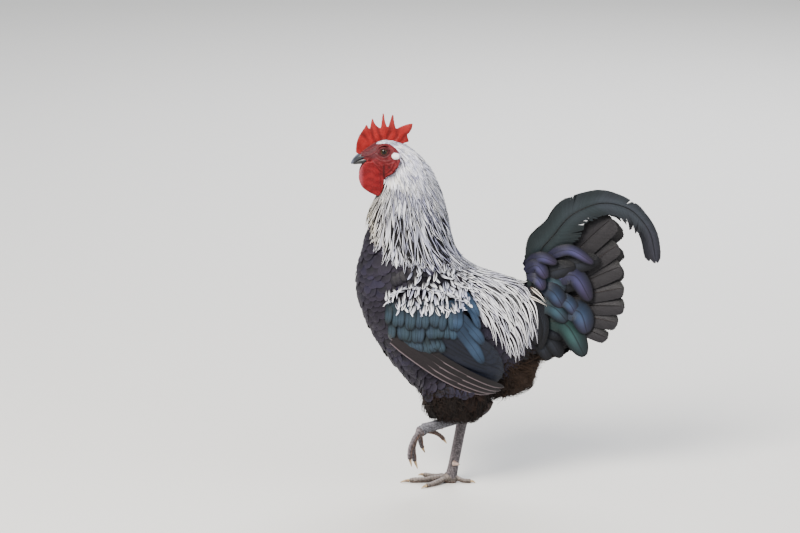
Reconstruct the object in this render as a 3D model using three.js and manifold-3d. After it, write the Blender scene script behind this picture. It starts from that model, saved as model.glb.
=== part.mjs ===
// A life-size cockerel in mid-stride: it stands on its right foot, with the left foot lifted.
// Millimetres, +Z up. The bird faces -X, so its left side is -Y. The origin is on the floor,
// in the middle of the sole of the standing foot. The whole body is one loft, parted by thin cuts.
import * as THREE from "three";
import { mergeVertices } from "three/addons/utils/BufferGeometryUtils.js";
import Module from "manifold-3d";

const wasm = await Module();
wasm.setup();

// ---------------------------------------------------------------- driving sizes
const GAP = 0.35; // clearance between neighbouring pieces
const BODY_RINGS = 36; // sections along the whole body
const BODY_SIDES = 18; // corners of each section
const FLOOR = 0; // height of the ground under the standing foot
const LEFT = -1; // side of the bird that is on -Y
const RIGHT = 1;

const EYE = { x: -100, y: 11.2, z: 516.8, radius: 7.4 };
const LOBE = { x: -82.5, y: 19.5, z: 511.5, length: 12, height: 9, depth: 5 };
const COMB_THICKNESS = 5;
const WATTLE = { x: -117.5, y: 10.5, z: 476, height: 54, width: 36, depth: 6, lean: -0.2 };
const WING_DEPTH = 9; // how far the folded wing stands off the flank
const QUILL_DEPTH = 6; // the same where only the long wing feathers lie
const WING_NARROWEST = 22; // from the middle of a wing outline to its nearest edge
const FAN = { feathers: 7, root: [118, 280], top: 47, step: -13.5, length: 141, flare: 1.33 };
const VANE = { halfWidth: 19.5, topBroader: 1.3, lean: 0.1, thickness: 1.6 }; // a tail feather
const SHANK_RADIUS = 7.1;
const STANDING = { hock: [20, 14, 104], ankle: [2, 1, 13] };
const LIFTED = { hock: [44, -42, 123], ankle: [-42, -44, 97] };
const SPUR = { radius: 4.2, right: [5, -3, 31], left: [-16, -40, 101] };

// ---------------------------------------------------------------- shared shapes
const point = (x, y, z) => new THREE.Vector3(x, y, z);

// A smooth row of numbers between rows of keys, at t from 0 to 1.
function between(keys, t) {
  const at = THREE.MathUtils.clamp(t, 0, 1) * (keys.length - 1);
  const i = Math.min(Math.floor(at), keys.length - 2);
  const key = (k) => keys[THREE.MathUtils.clamp(k, 0, keys.length - 1)];
  return key(i).map((_, c) => {
    const [a, b, d, e] = [key(i - 1)[c], key(i)[c], key(i + 1)[c], key(i + 2)[c]];
    const u = at - i;
    const bend = u * (d - a + u * (2 * a - 5 * b + 4 * d - e + u * (3 * (b - d) + e - a)));
    return b + bend / 2;
  });
}

// A closed skin over rings of points, with a fan of faces over each end.
function loft(rings) {
  const sides = rings[0].length;
  const middle = (ring) =>
    ring.reduce((sum, p) => sum.add(p), point(0, 0, 0)).divideScalar(ring.length);
  const points = [...rings.flat(), middle(rings[0]), middle(rings.at(-1))];
  const faces = [];
  const last = (rings.length - 1) * sides;
  for (let k = 0; k < sides; k++) {
    const next = (k + 1) % sides;
    for (let r = 0; r < last; r += sides) {
      faces.push(r + k, r + next, r + sides + next, r + k, r + sides + next, r + sides + k);
    }
    faces.push(points.length - 2, next, k, points.length - 1, last + k, last + next);
  }
  return facingOut(points, faces);
}

// The geometry of those faces, turned round if they enclose a negative volume.
function facingOut(points, faces) {
  let volume = 0;
  for (let i = 0; i < faces.length; i += 3) {
    const [a, b, c] = [points[faces[i]], points[faces[i + 1]], points[faces[i + 2]]];
    volume += a.dot(b.clone().cross(c));
  }
  if (volume < 0) faces.reverse();
  return new THREE.BufferGeometry().setFromPoints(points).setIndex(faces);
}

// One egg-shaped section: it spans two points of the plane y = 0, moved to a middle y.
// Its width swells towards the second point by skew. grow pushes it out all round.
function section([bx, bz, fx, fz, halfWidth, skew, y], grow, sides) {
  const middle = point((bx + fx) / 2, y, (bz + fz) / 2);
  const span = point(fx - bx, 0, fz - bz);
  const reach = span.length() / 2 + grow;
  span.normalize();
  return Array.from({ length: sides }, (_, k) => {
    const turn = (2 * Math.PI * k) / sides;
    const along = Math.cos(turn);
    const width = (halfWidth + grow) * Math.sin(turn) * (1 + skew * along);
    return middle.clone().addScaledVector(span, reach * along).add(point(0, width, 0));
  });
}

// A loft through keyed sections. A key may leave out its skew and its middle y, which are then 0.
function sections(keys, rings, grow = 0, sides = BODY_SIDES) {
  const full = keys.map(([bx, bz, fx, fz, halfWidth, skew = 0, y = 0]) => [
    bx, bz, fx, fz, halfWidth, skew, y,
  ]);
  const row = Array.from({ length: rings }, (_, r) => between(full, r / (rings - 1)));
  return loft(row.map((key) => section(key, grow, sides)));
}

// A tube along a smooth path that never runs along Y. size(t) gives half the width along Y and
// half the height. A flat tube is cut off level where it would reach below the floor.
function tube(path, size, { from = 0, to = 1, rings = 8, sides = 8, flat = false } = {}) {
  const curve = new THREE.CatmullRomCurve3(path.map((p) => point(...p)), false, "centripetal");
  const made = [];
  for (let r = 0; r < rings; r++) {
    const t = from + ((to - from) * r) / (rings - 1);
    const [halfWidth, halfHeight] = size(t);
    const middle = curve.getPointAt(t);
    const along = curve.getTangentAt(t);
    const across = point(0, 1, 0).addScaledVector(along, -along.y).normalize();
    const up = along.clone().cross(across).normalize();
    made.push(
      Array.from({ length: sides }, (_, k) => {
        const turn = (2 * Math.PI * (k + 0.5)) / sides;
        const p = middle.clone().addScaledVector(across, halfWidth * Math.cos(turn));
        p.addScaledVector(up, halfHeight * Math.sin(turn));
        if (flat) p.z = Math.max(p.z, FLOOR);
        return p;
      }),
    );
  }
  return loft(made);
}

// A ball, squashed to half sizes along X, Y and Z.
function ball([x, y, z], [rx, ry, rz], width = 14, height = 9) {
  const made = new THREE.SphereGeometry(1, width, height);
  made.scale(rx, ry, rz);
  made.translate(x, y, z);
  return made;
}

// A flat feather: a thin blade along a path, in a plane of constant lean.
function blade(path, halfWidth, { rings = 12, lean = 0 } = {}) {
  const curve = new THREE.CatmullRomCurve3(path.map((p) => point(...p)), false, "centripetal");
  const face = point(0, Math.cos(lean), Math.sin(lean));
  const made = [];
  for (let r = 0; r < rings; r++) {
    const t = r / (rings - 1);
    const middle = curve.getPointAt(t);
    const across = curve.getTangentAt(t).cross(face).normalize();
    const w = halfWidth(t);
    const corner = (a, b) =>
      middle.clone().addScaledVector(across, w * a).addScaledVector(face, (VANE.thickness / 2) * b);
    made.push([corner(1, 1), corner(-1, 1), corner(-1, -1), corner(1, -1)]);
  }
  return loft(made);
}

// ---------------------------------------------------------------- joining and cutting
function solid(geometry) {
  const bare = geometry.clone();
  bare.deleteAttribute("normal");
  bare.deleteAttribute("uv");
  const merged = mergeVertices(bare, 1e-3);
  const vertProperties = new Float32Array(merged.attributes.position.array);
  const triVerts = new Uint32Array(merged.index.array);
  return new wasm.Manifold(new wasm.Mesh({ numProp: 3, vertProperties, triVerts }));
}

function geometryOf(manifold) {
  const made = manifold.getMesh();
  return new THREE.BufferGeometry()
    .setAttribute("position", new THREE.BufferAttribute(made.vertProperties, 3))
    .setIndex(new THREE.BufferAttribute(made.triVerts, 1));
}

// A big block whose near face lies on a plane: it fills the side that the normal points to.
function halfSpace([x, y, z], normal, back) {
  const size = 1200; // wider than the bird
  const block = new THREE.BoxGeometry(size, size, size);
  const way = point(...normal).normalize();
  block.translate(0, 0, size / 2 + back);
  block.applyQuaternion(new THREE.Quaternion().setFromUnitVectors(point(0, 0, 1), way));
  block.translate(x, y, z);
  return solid(block);
}

// The two sides of a solid about a plane, with the gap between them.
function part(whole, place, normal) {
  const away = normal.map((n) => -n);
  return [
    whole.intersect(halfSpace(place, normal, GAP / 2)),
    whole.intersect(halfSpace(place, away, GAP / 2)),
  ];
}

// The largest of the separate bodies that a cut leaves.
function largest(manifold) {
  return manifold.decompose().sort((a, b) => b.volume() - a.volume())[0];
}

// ---------------------------------------------------------------- the body, from beak root to tail root
// Each key: back point x, z, front point x, z, half width, skew.
const HEAD_KEYS = [
  [-138, 512.5, -128, 498.5, 7.2],
  [-126, 521, -123, 490.5, 11],
  [-112, 530, -116, 482, 15],
  [-96, 533, -110, 476, 18],
  [-78, 529, -106, 472, 19.5],
];
const NECK_KEYS = [
  [-58, 518, -102, 469, 21],
  [-34, 493, -112, 447, 27],
  [-17, 456, -124, 416, 34],
  [-6, 415, -129, 385, 43],
  [1, 378, -138, 351, 52],
];
const TRUNK_KEYS = [
  [12, 356, -144, 318, 60, -0.05],
  [26, 343, -137, 276, 66, -0.08],
  [42, 334, -112, 222, 70, -0.1],
  [60, 328, -72, 168, 71, -0.1],
  [78, 323, -34, 136, 69, -0.06],
  [92, 319, 22, 126, 63],
  [102, 315, 72, 135, 52],
  [112, 312, 108, 152, 41],
];
const TAIL_ROOT_KEYS = [
  [124, 322, 134, 178, 31],
  [146, 326, 160, 192, 20],
  [170, 305, 182, 212, 9],
];
const BODY_KEYS = [...HEAD_KEYS, ...NECK_KEYS, ...TRUNK_KEYS, ...TAIL_ROOT_KEYS];
const bodyLoft = (grow, ahead = 0) =>
  solid(sections(BODY_KEYS, BODY_RINGS, grow).translate(-ahead, 0, 0));

const body = bodyLoft(0);
const bodyClear = bodyLoft(GAP).add(bodyLoft(GAP, GAP)); // also clear of the blunt end at the beak

// The hackle's cape ends on a slanting line, high at the throat and low on the back.
const [tailPiece, frontSide] = part(body, [118, 0, 240], [0.98, 0, -0.06]);
const [headSide, trunkPiece] = part(frontSide, [-55, 0, 372], [0.28, 0, 0.96]);
const [headPiece, neckPiece] = part(largest(headSide), [-82, 0, 493], [-0.75, 0, 0.66]);

// ---------------------------------------------------------------- head
function eyeball(side, grow = 0) {
  const r = EYE.radius + grow;
  return solid(ball([EYE.x, side * EYE.y, EYE.z], [r, r, r], 10, 8));
}

function head() {
  return headPiece.subtract(eyeball(LEFT, GAP)).subtract(eyeball(RIGHT, GAP));
}

// A single comb: a low blade with tall spikes, and a lobe that reaches back past the nape.
function comb() {
  const spikes = [
    { x: -126.5, z: 555, valley: [-122, 547] },
    { x: -117.5, z: 564, valley: [-105, 549.5] },
    { x: -101.5, z: 572.5, valley: [-94.5, 550.5] },
    { x: -87.5, z: 570.5, valley: [-82, 549] },
  ];
  const outline = new THREE.Shape();
  outline.moveTo(-142, 513);
  outline.quadraticCurveTo(-143.5, 534, -129.5, 550);
  for (const { x, z, valley } of spikes) {
    outline.lineTo(x - 0.6, z);
    outline.lineTo(x + 1.4, z - 0.8);
    outline.quadraticCurveTo(x + 2.5, valley[1] + 5, ...valley);
  }
  outline.quadraticCurveTo(-70, 556, -57.5, 557.5);
  outline.quadraticCurveTo(-58, 546, -66, 540);
  outline.lineTo(-63, 529);
  outline.quadraticCurveTo(-76, 527, -90, 522);
  outline.lineTo(-128, 508);
  outline.closePath();
  const made = new THREE.ExtrudeGeometry(outline, {
    depth: COMB_THICKNESS - 2,
    curveSegments: 3,
    bevelThickness: 1,
    bevelSize: 0.8,
    bevelOffset: -0.8,
    bevelSegments: 1,
  });
  made.rotateX(Math.PI / 2);
  made.translate(0, COMB_THICKNESS / 2 - 1, 0);
  return largest(solid(made).subtract(bodyClear).subtract(beakUpper(GAP)));
}

function beakUpper(grow = 0) {
  const keys = [
    [-120, 519, -120, 505.5, 9.4],
    [-130, 516, -129, 504.2, 8.3],
    [-139.5, 510.8, -137, 501.2, 6.5],
    [-146, 504.8, -143.5, 498, 4.2],
    [-149.6, 498.6, -147.4, 495.6, 1.5],
  ];
  return solid(sections(keys, 9, grow, 12));
}

function beakLower() {
  const keys = [
    [-120, 508, -121, 497.4, 8],
    [-130, 507, -130, 496.8, 6.9],
    [-138, 504, -137.5, 495.9, 5.2],
    [-145.5, 499, -145, 495.2, 2.4],
  ];
  const made = solid(sections(keys, 7, 0, 12));
  return largest(made.subtract(beakUpper(GAP)).subtract(bodyClear));
}

function wattle(side) {
  const hanging = ball([0, 0, 0], [WATTLE.width / 2, WATTLE.depth / 2, WATTLE.height / 2], 12, 8);
  hanging.rotateY(WATTLE.lean).translate(WATTLE.x, side * WATTLE.y, WATTLE.z);
  return largest(solid(hanging).subtract(bodyClear).subtract(beakUpper(GAP)));
}

function lobe(side) {
  const size = [LOBE.length / 2, LOBE.depth / 2, LOBE.height / 2];
  const made = solid(ball([LOBE.x, side * LOBE.y, LOBE.z], size, 9, 7));
  return largest(made.subtract(bodyClear));
}

// ---------------------------------------------------------------- wings
// Both outlines are seen from the side; the plate follows the flank that it lies on.
function wingPlate(points, depth, side, grow) {
  const [inside, outside] = [12, 122]; // how far from the middle plane the outline is cut
  const outline = new THREE.SplineCurve(points.map(([x, z]) => new THREE.Vector2(x, z)));
  const block = new THREE.ExtrudeGeometry(new THREE.Shape(outline.getPoints(15)), {
    depth: outside - inside,
    bevelEnabled: false,
  });
  block.computeBoundingBox();
  const { x, y } = block.boundingBox.getCenter(point(0, 0, 0));
  const wider = 1 + grow / WING_NARROWEST;
  block.translate(-x, -y, 0).scale(wider, wider, 1).translate(x, y, 0);
  block.rotateX(Math.PI / 2);
  block.translate(0, side === LEFT ? -inside : outside, 0);
  return bodyLoft(depth + grow).intersect(solid(block));
}

// The long quills with the broader, deeper coverts over them, before the flank is cut away.
function wingPlates(side, grow = 0) {
  const quills = [[-80, 262], [-88, 238], [-55, 211], [-9, 180], [33, 160], [63, 154.5]];
  quills.push([79, 170], [72, 200], [54, 231], [24, 256], [-80, 262]);
  const coverts = [[-92, 292], [-94, 262], [-84, 240], [-46, 232], [0, 226], [38, 238]];
  coverts.push([34, 272], [8, 300], [-40, 314], [-76, 312], [-92, 292]);
  const plate = wingPlate(quills, QUILL_DEPTH, side, grow);
  const shoulder = wingPlate(coverts, WING_DEPTH, side, grow);
  return plate.add(shoulder);
}

const wing = (side) => largest(wingPlates(side).subtract(bodyClear));

// ---------------------------------------------------------------- tail
function fanFeather(index, side) {
  const turn = THREE.MathUtils.degToRad(FAN.top + FAN.step * index);
  const fromMiddle = (FAN.feathers - 1) / 2 - index;
  const length = FAN.length + FAN.flare * fromMiddle ** 3;
  const [x, z] = FAN.root;
  const spread = 4 + 4.2 * index;
  const along = (share, y) => [
    x + Math.cos(turn) * length * share,
    side * y,
    z + Math.sin(turn) * length * share,
  ];
  const path = [along(0.08, 4), along(0.5, (4 + spread) / 2), along(1, spread)];
  const tipRound = (t) => Math.sqrt(Math.max(0.12, 1 - (Math.max(0, t - 0.86) / 0.145) ** 2));
  const broad = index === 0 ? VANE.topBroader : 1;
  const width = (t) => VANE.halfWidth * broad * Math.min(1, 0.42 + t) * tipRound(t);
  return solid(blade(path, width, { rings: 6, lean: side * VANE.lean }));
}

function tailFan(side) {
  const feathers = Array.from({ length: FAN.feathers }, (_, i) => fanFeather(i, side));
  const joined = feathers.reduce((sum, feather) => sum.add(feather));
  return largest(joined.subtract(bodyClear));
}

// The long sickle feathers arch up from the rump, back over the fan and down to a round tip.
const SICKLE_LINE = [
  [124, 306], [132, 346], [151, 389], [182, 421], [213, 435], [247, 427], [277, 402], [299, 371],
  [310, 344],
];
const SICKLE_HALF_WIDTHS = [[9], [23], [27], [24], [19], [15], [11.5], [10], [5]];

function sickle(side, reach, y) {
  const [rootX, rootZ] = SICKLE_LINE[0];
  const path = SICKLE_LINE.map(([x, z]) => [
    rootX + (x - rootX) * reach,
    side * y,
    rootZ + (z - rootZ) * reach,
  ]);
  const width = (t) => between(SICKLE_HALF_WIDTHS, t)[0];
  return largest(solid(blade(path, width, { rings: 22 })).subtract(bodyClear));
}

// ---------------------------------------------------------------- legs
const THIGH_RINGS = 10;
const THIGH_SIDES = 14;
const THIGH_LEFT = [
  [20, 226, -46, 200, 20, 0, -36],
  [50, 188, -46, 152, 32, 0, -43],
  [60, 162, -38, 120, 31, 0, -46],
  [60, 145, -10, 111, 26, 0, -45],
  [58, 134, 22, 109, 17, 0, -43],
  [54, 130, 36, 111, 10, 0, -42],
];
const THIGH_RIGHT = [
  [50, 230, -30, 208, 20, 0, 36],
  [56, 180, -24, 156, 30, 0, 36],
  [50, 146, -10, 128, 24, 0, 27],
  [41, 122, 5, 110, 16, 0, 18],
  [32, 107, 10, 101, 10.5, 0, 14],
];

// The thigh's feathers lie under the wing.
function thigh(keys, side) {
  const neighbours = bodyClear.add(wingPlates(side, GAP));
  return largest(solid(sections(keys, THIGH_RINGS, 0, THIGH_SIDES)).subtract(neighbours));
}

function shank({ hock, ankle }, grow = 0) {
  const size = (t) => {
    const hockSwell = 0.28 * Math.exp(-((t / 0.12) ** 2));
    const ankleSwell = 0.12 * Math.exp(-(((1 - t) / 0.1) ** 2));
    const radius = SHANK_RADIUS * (1 + hockSwell + ankleSwell);
    return [0.9 * radius + grow, 1.1 * radius + grow];
  };
  const middle = hock.map((v, i) => (v + ankle[i]) / 2);
  return solid(tube([hock, middle, ankle], size, { rings: 7, sides: 9 }));
}

// A shank comes out of the thigh's feathers and stops at the ball of the foot.
function bareShank(leg, thighKeys, pad) {
  const feathers = solid(sections(thighKeys, THIGH_RINGS, GAP, THIGH_SIDES));
  return largest(shank(leg).subtract(feathers).subtract(pad));
}

const padLifted = (grow) => solid(ball([-44, -44, 94], [9 + grow, 9.5 + grow, 8.5 + grow], 10, 7));

// The ball of the standing foot, flat where it meets the floor.
function padStanding(grow) {
  const keys = [
    [-9, 0, 5.5],
    [-6, 6.5, 8],
    [0, 9, 9.5],
    [6, 7, 8.5],
    [9, 0, 5.5],
  ];
  const rings = keys.map(([x, high, wide]) =>
    Array.from({ length: 12 }, (_, k) => {
      const turn = (2 * Math.PI * k) / 12;
      const z = 7 + (7 + high * 0.4 + grow) * Math.sin(turn);
      return point(x * (1 + grow / 9), (wide + grow) * Math.cos(turn), Math.max(z, FLOOR - grow));
    }),
  );
  return solid(loft(rings));
}

// The toes of one foot with their claws. Each toe keeps clear of the pieces before it.
function digits(specs, pieces, flat) {
  const claw = 0.8;
  const kept = [...pieces];
  return specs.map(({ name, path, radius, joints }) => {
    const size = (grow) => (t) => {
      const swell = 1 + 0.1 * Math.cos(2 * Math.PI * joints * t);
      const r = radius * (1 - 0.28 * t) * swell + grow;
      return [r, r];
    };
    const horn = (t) => {
      const left = (1 - t) / (1 - claw);
      return [0.35 + radius * 0.42 * left, 0.4 + radius * 0.5 * left];
    };
    const digit = (grow) => solid(tube(path, size(grow), { to: claw, rings: 8, sides: 7, flat }));
    const whole = largest(kept.reduce((left, piece) => left.subtract(piece), digit(0)));
    kept.push(digit(GAP));
    const nail = tube(path, horn, { from: claw + 0.008, rings: 5, sides: 6, flat });
    return { name, digit: whole, nail: solid(nail) };
  });
}

// The standing foot's toes, by heading from straight ahead (-X), positive towards the left side.
const STANDING_TOES = [
  { name: "middle", heading: 2, reach: 76, radius: 5, joints: 3 },
  { name: "inner", heading: 38, reach: 56, radius: 4.7, joints: 2 },
  { name: "outer", heading: -36, reach: 60, radius: 4.6, joints: 4 },
  { name: "hind", heading: 172, reach: 38, radius: 4.2, joints: 1 },
].map(({ heading, reach, radius, ...rest }) => {
  const turn = THREE.MathUtils.degToRad(heading);
  const place = (share, z) => [-Math.cos(turn) * reach * share, -Math.sin(turn) * reach * share, z];
  const path = [place(0.04, 8), place(0.25, 7), place(0.5, radius * 0.86)];
  path.push(place(0.78, radius * 0.72), place(0.92, 3), place(1, 0.7));
  return { path, radius, ...rest };
});

// The lifted foot's toes hang half closed.
const LIFTED_TOES = [
  { name: "middle", radius: 4.9, joints: 3, path: [[-46, -45, 96], [-55, -45, 78], [-56, -45, 56]] },
  { name: "inner", radius: 4.4, joints: 2, path: [[-45, -41, 95], [-46, -35, 82], [-44, -31, 68]] },
  { name: "outer", radius: 4.5, joints: 4, path: [[-46, -48, 95], [-57, -55, 80], [-62, -58, 61]] },
  { name: "hind", radius: 4, joints: 1, path: [[-36, -42, 94], [-24, -39, 90], [-14, -38, 83]] },
];
const LIFTED_TIPS = [[-50, -45, 35], [-39, -30, 56], [-59, -60, 43], [-6, -39, 73]];
LIFTED_TOES.forEach(({ path }, i) => path.push(LIFTED_TIPS[i]));

// A short blunt spur that points inwards and back from a shank.
function spur(leg, root, way) {
  const place = (share) => root.map((v, i) => v + way[i] * share);
  const size = (t) => [SPUR.radius * (1.1 - t), SPUR.radius * (1.1 - t)];
  const horn = solid(tube([place(0), place(0.5), place(1)], size, { rings: 5, sides: 7 }));
  return largest(horn.subtract(shank(leg, GAP)));
}

// ---------------------------------------------------------------- the scene graph
const finish = (color, roughness) => new THREE.MeshStandardMaterial({ color, roughness, metalness: 0 });
const MATERIALS = {
  comb: finish(0xb5231f, 0.5),
  face: finish(0xa63a35, 0.6),
  lobe: finish(0xe6dcd6, 0.6),
  horn: finish(0x4a4a55, 0.4),
  claw: finish(0xc4a888, 0.45),
  eye: finish(0x4a2a16, 0.1),
  silver: finish(0xd9d7dc, 0.7),
  black: finish(0x2a2529, 0.55),
  gloss: finish(0x25333f, 0.4),
  scale: finish(0x8a7c78, 0.6),
};
const bird = new THREE.Group();

function add(name, manifold, material) {
  const mesh = new THREE.Mesh(geometryOf(manifold), MATERIALS[material]);
  mesh.name = name;
  bird.add(mesh);
}

const sides = { left: LEFT, right: RIGHT };
const upperBeak = largest(beakUpper().subtract(bodyClear));

add("head", head(), "face");
add("comb", comb(), "comb");
add("beak_upper", upperBeak, "horn");
add("beak_lower", beakLower(), "horn");
add("neck", neckPiece, "silver");
add("trunk", trunkPiece, "black");
add("tail_root", tailPiece, "gloss");
for (const [word, side] of Object.entries(sides)) {
  add(`eye_${word}`, eyeball(side), "eye");
  add(`wattle_${word}`, wattle(side), "comb");
  add(`earlobe_${word}`, lobe(side), "lobe");
  add(`wing_${word}`, wing(side), "gloss");
  add(`tail_fan_${word}`, tailFan(side), "black");
}
add("sickle_left", sickle(LEFT, 1, 12), "gloss");
add("sickle_right", sickle(RIGHT, 0.96, 9), "gloss");
add("thigh_left", thigh(THIGH_LEFT, LEFT), "black");
add("thigh_right", thigh(THIGH_RIGHT, RIGHT), "black");
const feet = {
  left: digits(LIFTED_TOES, [padLifted(GAP), shank(LIFTED, GAP)], false),
  right: digits(STANDING_TOES, [padStanding(GAP), shank(STANDING, GAP)], true),
};
for (const [word, toes] of Object.entries(feet)) {
  for (const { name, digit, nail } of toes) {
    add(`toe_${word}_${name}`, digit, "scale");
    add(`claw_${word}_${name}`, nail, "claw");
  }
}
add("shank_left", bareShank(LIFTED, THIGH_LEFT, padLifted(GAP)), "scale");
add("shank_right", bareShank(STANDING, THIGH_RIGHT, padStanding(GAP)), "scale");
add("foot_left", padLifted(0), "scale");
add("foot_right", padStanding(0), "scale");
add("spur_left", spur(LIFTED, SPUR.left, [4, 9, -8]), "claw");
add("spur_right", spur(STANDING, SPUR.right, [9, -10, 1]), "claw");

export default bird;
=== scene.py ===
"""A life-size cockerel with a silver hackle, walking with its left foot lifted.

One skin, solid mesh feathers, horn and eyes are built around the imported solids. Sizes are in
millimetres, in the frame of those solids: +Z is up, the bird faces -X and its left side is on -Y.
"""

import logging
import math
from collections.abc import Callable, Sequence
from dataclasses import dataclass, field, replace
from enum import Enum
from functools import partial

import bmesh
import bpy
import numpy as np
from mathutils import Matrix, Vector
from mathutils.bvhtree import BVHTree
from mathutils.kdtree import KDTree


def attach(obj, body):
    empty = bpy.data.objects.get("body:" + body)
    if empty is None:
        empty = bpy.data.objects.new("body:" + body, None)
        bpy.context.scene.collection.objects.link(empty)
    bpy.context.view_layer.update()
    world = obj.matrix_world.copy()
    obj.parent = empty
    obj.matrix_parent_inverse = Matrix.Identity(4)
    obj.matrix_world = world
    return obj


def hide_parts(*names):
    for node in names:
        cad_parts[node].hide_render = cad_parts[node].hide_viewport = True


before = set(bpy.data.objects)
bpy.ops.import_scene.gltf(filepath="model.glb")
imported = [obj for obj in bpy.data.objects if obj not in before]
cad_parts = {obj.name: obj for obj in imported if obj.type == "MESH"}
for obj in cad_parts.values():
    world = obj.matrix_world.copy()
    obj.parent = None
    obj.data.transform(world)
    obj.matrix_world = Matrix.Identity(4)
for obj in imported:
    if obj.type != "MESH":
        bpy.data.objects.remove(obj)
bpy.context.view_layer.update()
MM = 0.001
OUTSIDE = 200  # farther out than any part of the bird, in millimetres
TRIES = 7  # how often each free spot is tried when roots are spread
PATCH = 0.003  # size of one feather's patch on the baking map
KEEL_SHADE = 0.6  # the underside of a vane is darker than its face
SHARP = 1.2  # edges that turn by more radians than this stay sharp
TOES = ("middle", "inner", "outer", "hind")
log = logging.getLogger("cockerel")
Array = np.ndarray
Line = Sequence[Sequence[float]]
Spot = tuple[float, float, float]
Random = np.random.Generator
Piece, Mesh, Material = bpy.types.Object, bpy.types.Mesh, bpy.types.Material
Feed = bpy.types.Node | bpy.types.NodeSocket | float  # what an input of a node may be given


class Side(Enum):
    """A side of the bird, as the sign of Y."""

    LEFT = -1
    RIGHT = 1


class Tip(Enum):
    """The end of a feather: how far along it starts to narrow, and how it closes."""

    ROUND = (0.62, 2.2)
    OVAL = (0.45, 1.8)
    POINTED = (0.48, 1.35)
    BLUNT = (0.88, 2.0)
    LEAF = (0.55, 2.1)
    WISP = (0.1, 1.0)


# ---- small tools
def linear(colour: str) -> Array:
    """Turns an sRGB hex colour to linear red, green and blue."""
    parts = np.array([int(colour[i : i + 2], 16) / 255 for i in (1, 3, 5)])
    return np.where(parts <= 0.04045, parts / 12.92, ((parts + 0.055) / 1.055) ** 2.4)


def unit(vectors: Array) -> Array:
    """Scales vectors to length one, along the last axis."""
    return vectors / np.maximum(np.linalg.norm(vectors, axis=-1, keepdims=True), 1e-9)


def ease(low: float, high: float, value: Array) -> Array:
    """Rises smoothly from 0 at low to 1 at high."""
    t = np.clip((value - low) / (high - low), 0, 1)
    return t * t * (3 - 2 * t)


def mix(first: Array | str, second: Array | str, share: Array) -> Array:
    """Blends colours, linear or in hex, towards second ones.

    Args:
        first: One colour, or one for each point.
        second: The same.
        share: How far to go, for each point.

    Returns:
        The linear colours.
    """
    share = np.asarray(share)[..., None]
    first, second = (linear(c) if isinstance(c, str) else c for c in (first, second))
    return first * (1 - share) + second * share


def smooth_line(points: Line, count: int) -> Array:
    """Spaces points evenly on the smooth line through the given ones.

    Args:
        points: Two or more points.
        count: How many points to return.

    Returns:
        Array of count points.
    """
    p = np.asarray(points, float)
    ends = np.vstack([2 * p[0] - p[1], p, 2 * p[-1] - p[-2]])
    t = np.linspace(0, 1, 24, endpoint=False)[:, None]
    fine = []
    for a, b, c, d in zip(ends, ends[1:], ends[2:], ends[3:]):
        bent = (2 * a - 5 * b + 4 * c - d) * t**2 + (3 * b - a - 3 * c + d) * t**3
        fine.append(0.5 * (2 * b + (c - a) * t + bent))
    fine = np.vstack([*fine, p[-1:]])
    run = np.r_[0, np.cumsum(np.linalg.norm(np.diff(fine, axis=0), axis=1))]
    stops = np.linspace(0, run[-1], count)
    return np.stack([np.interp(stops, run, column) for column in fine.T], axis=1)


def inside(outline: Line, places: Array) -> Array:
    """Says which places lie within a closed outline in side view.

    Args:
        outline: X and Z of its corners.
        places: Points, or only their X and Z.

    Returns:
        True or False for each place.
    """
    corners = np.asarray(outline, float)
    x, z = places[..., 0], places[..., -1]
    found = np.zeros(x.shape, bool)
    for (x0, z0), (x1, z1) in zip(corners, np.roll(corners, -1, axis=0)):
        if z0 != z1:
            crosses = (z0 > z) != (z1 > z)
            found ^= crosses & (x < (x1 - x0) * (z - z0) / (z1 - z0) + x0)
    return found


def ripple(places: Array, size: float, seed: int) -> Array:
    """Gives a soft random swell over space.

    Args:
        places: Points in millimetres.
        size: Distance from crest to crest in millimetres.
        seed: Which swell.

    Returns:
        Value from about -1 to 1 for each point.
    """
    rng = np.random.default_rng(seed)
    waves = unit(rng.normal(size=(7, 3))) * rng.uniform(0.7, 1.5, (7, 1)) * 2 * math.pi / size
    return np.sin(places @ waves.T + rng.uniform(0, 6.28, 7)).mean(-1) * 1.9


def link(name: str, data: bpy.types.ID) -> Piece:
    """Puts a new object into the scene.

    Args:
        name: Its name.
        data: Its mesh, light or camera.

    Returns:
        The object.
    """
    made = bpy.data.objects.new(name, data)
    bpy.context.scene.collection.objects.link(made)
    return made


def add_object(name: str, points: Array, faces: Sequence[Sequence[int]]) -> Piece:
    """Makes a smooth mesh object.

    Args:
        name: Name of the piece.
        points: Corners in millimetres.
        faces: Corner numbers of each face.

    Returns:
        The new object, in metres.
    """
    mesh = bpy.data.meshes.new(name)
    mesh.from_pydata((np.asarray(points) * MM).tolist(), [], [list(f) for f in faces])
    mesh.shade_smooth()
    return link(name, mesh)


def corners_of(mesh: Mesh) -> Array:
    """Reads a mesh's corners in millimetres.

    Args:
        mesh: The mesh.

    Returns:
        One point for each corner.
    """
    flat = np.zeros(len(mesh.vertices) * 3, np.float32)
    mesh.vertices.foreach_get("co", flat)
    return flat.reshape(-1, 3).astype(float) / MM


def normals_of(mesh: Mesh) -> Array:
    """Reads the outward direction at each corner of a mesh.

    Args:
        mesh: The mesh.

    Returns:
        One direction for each corner.
    """
    flat = np.zeros(len(mesh.vertices) * 3, np.float32)
    mesh.vertex_normals.foreach_get("vector", flat)
    return flat.reshape(-1, 3).astype(float)


def move_corners(mesh: Mesh, points: Array) -> None:
    """Puts a mesh's corners at new places, in millimetres."""
    mesh.vertices.foreach_set("co", (points * MM).astype(np.float32).ravel())
    mesh.update()


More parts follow.
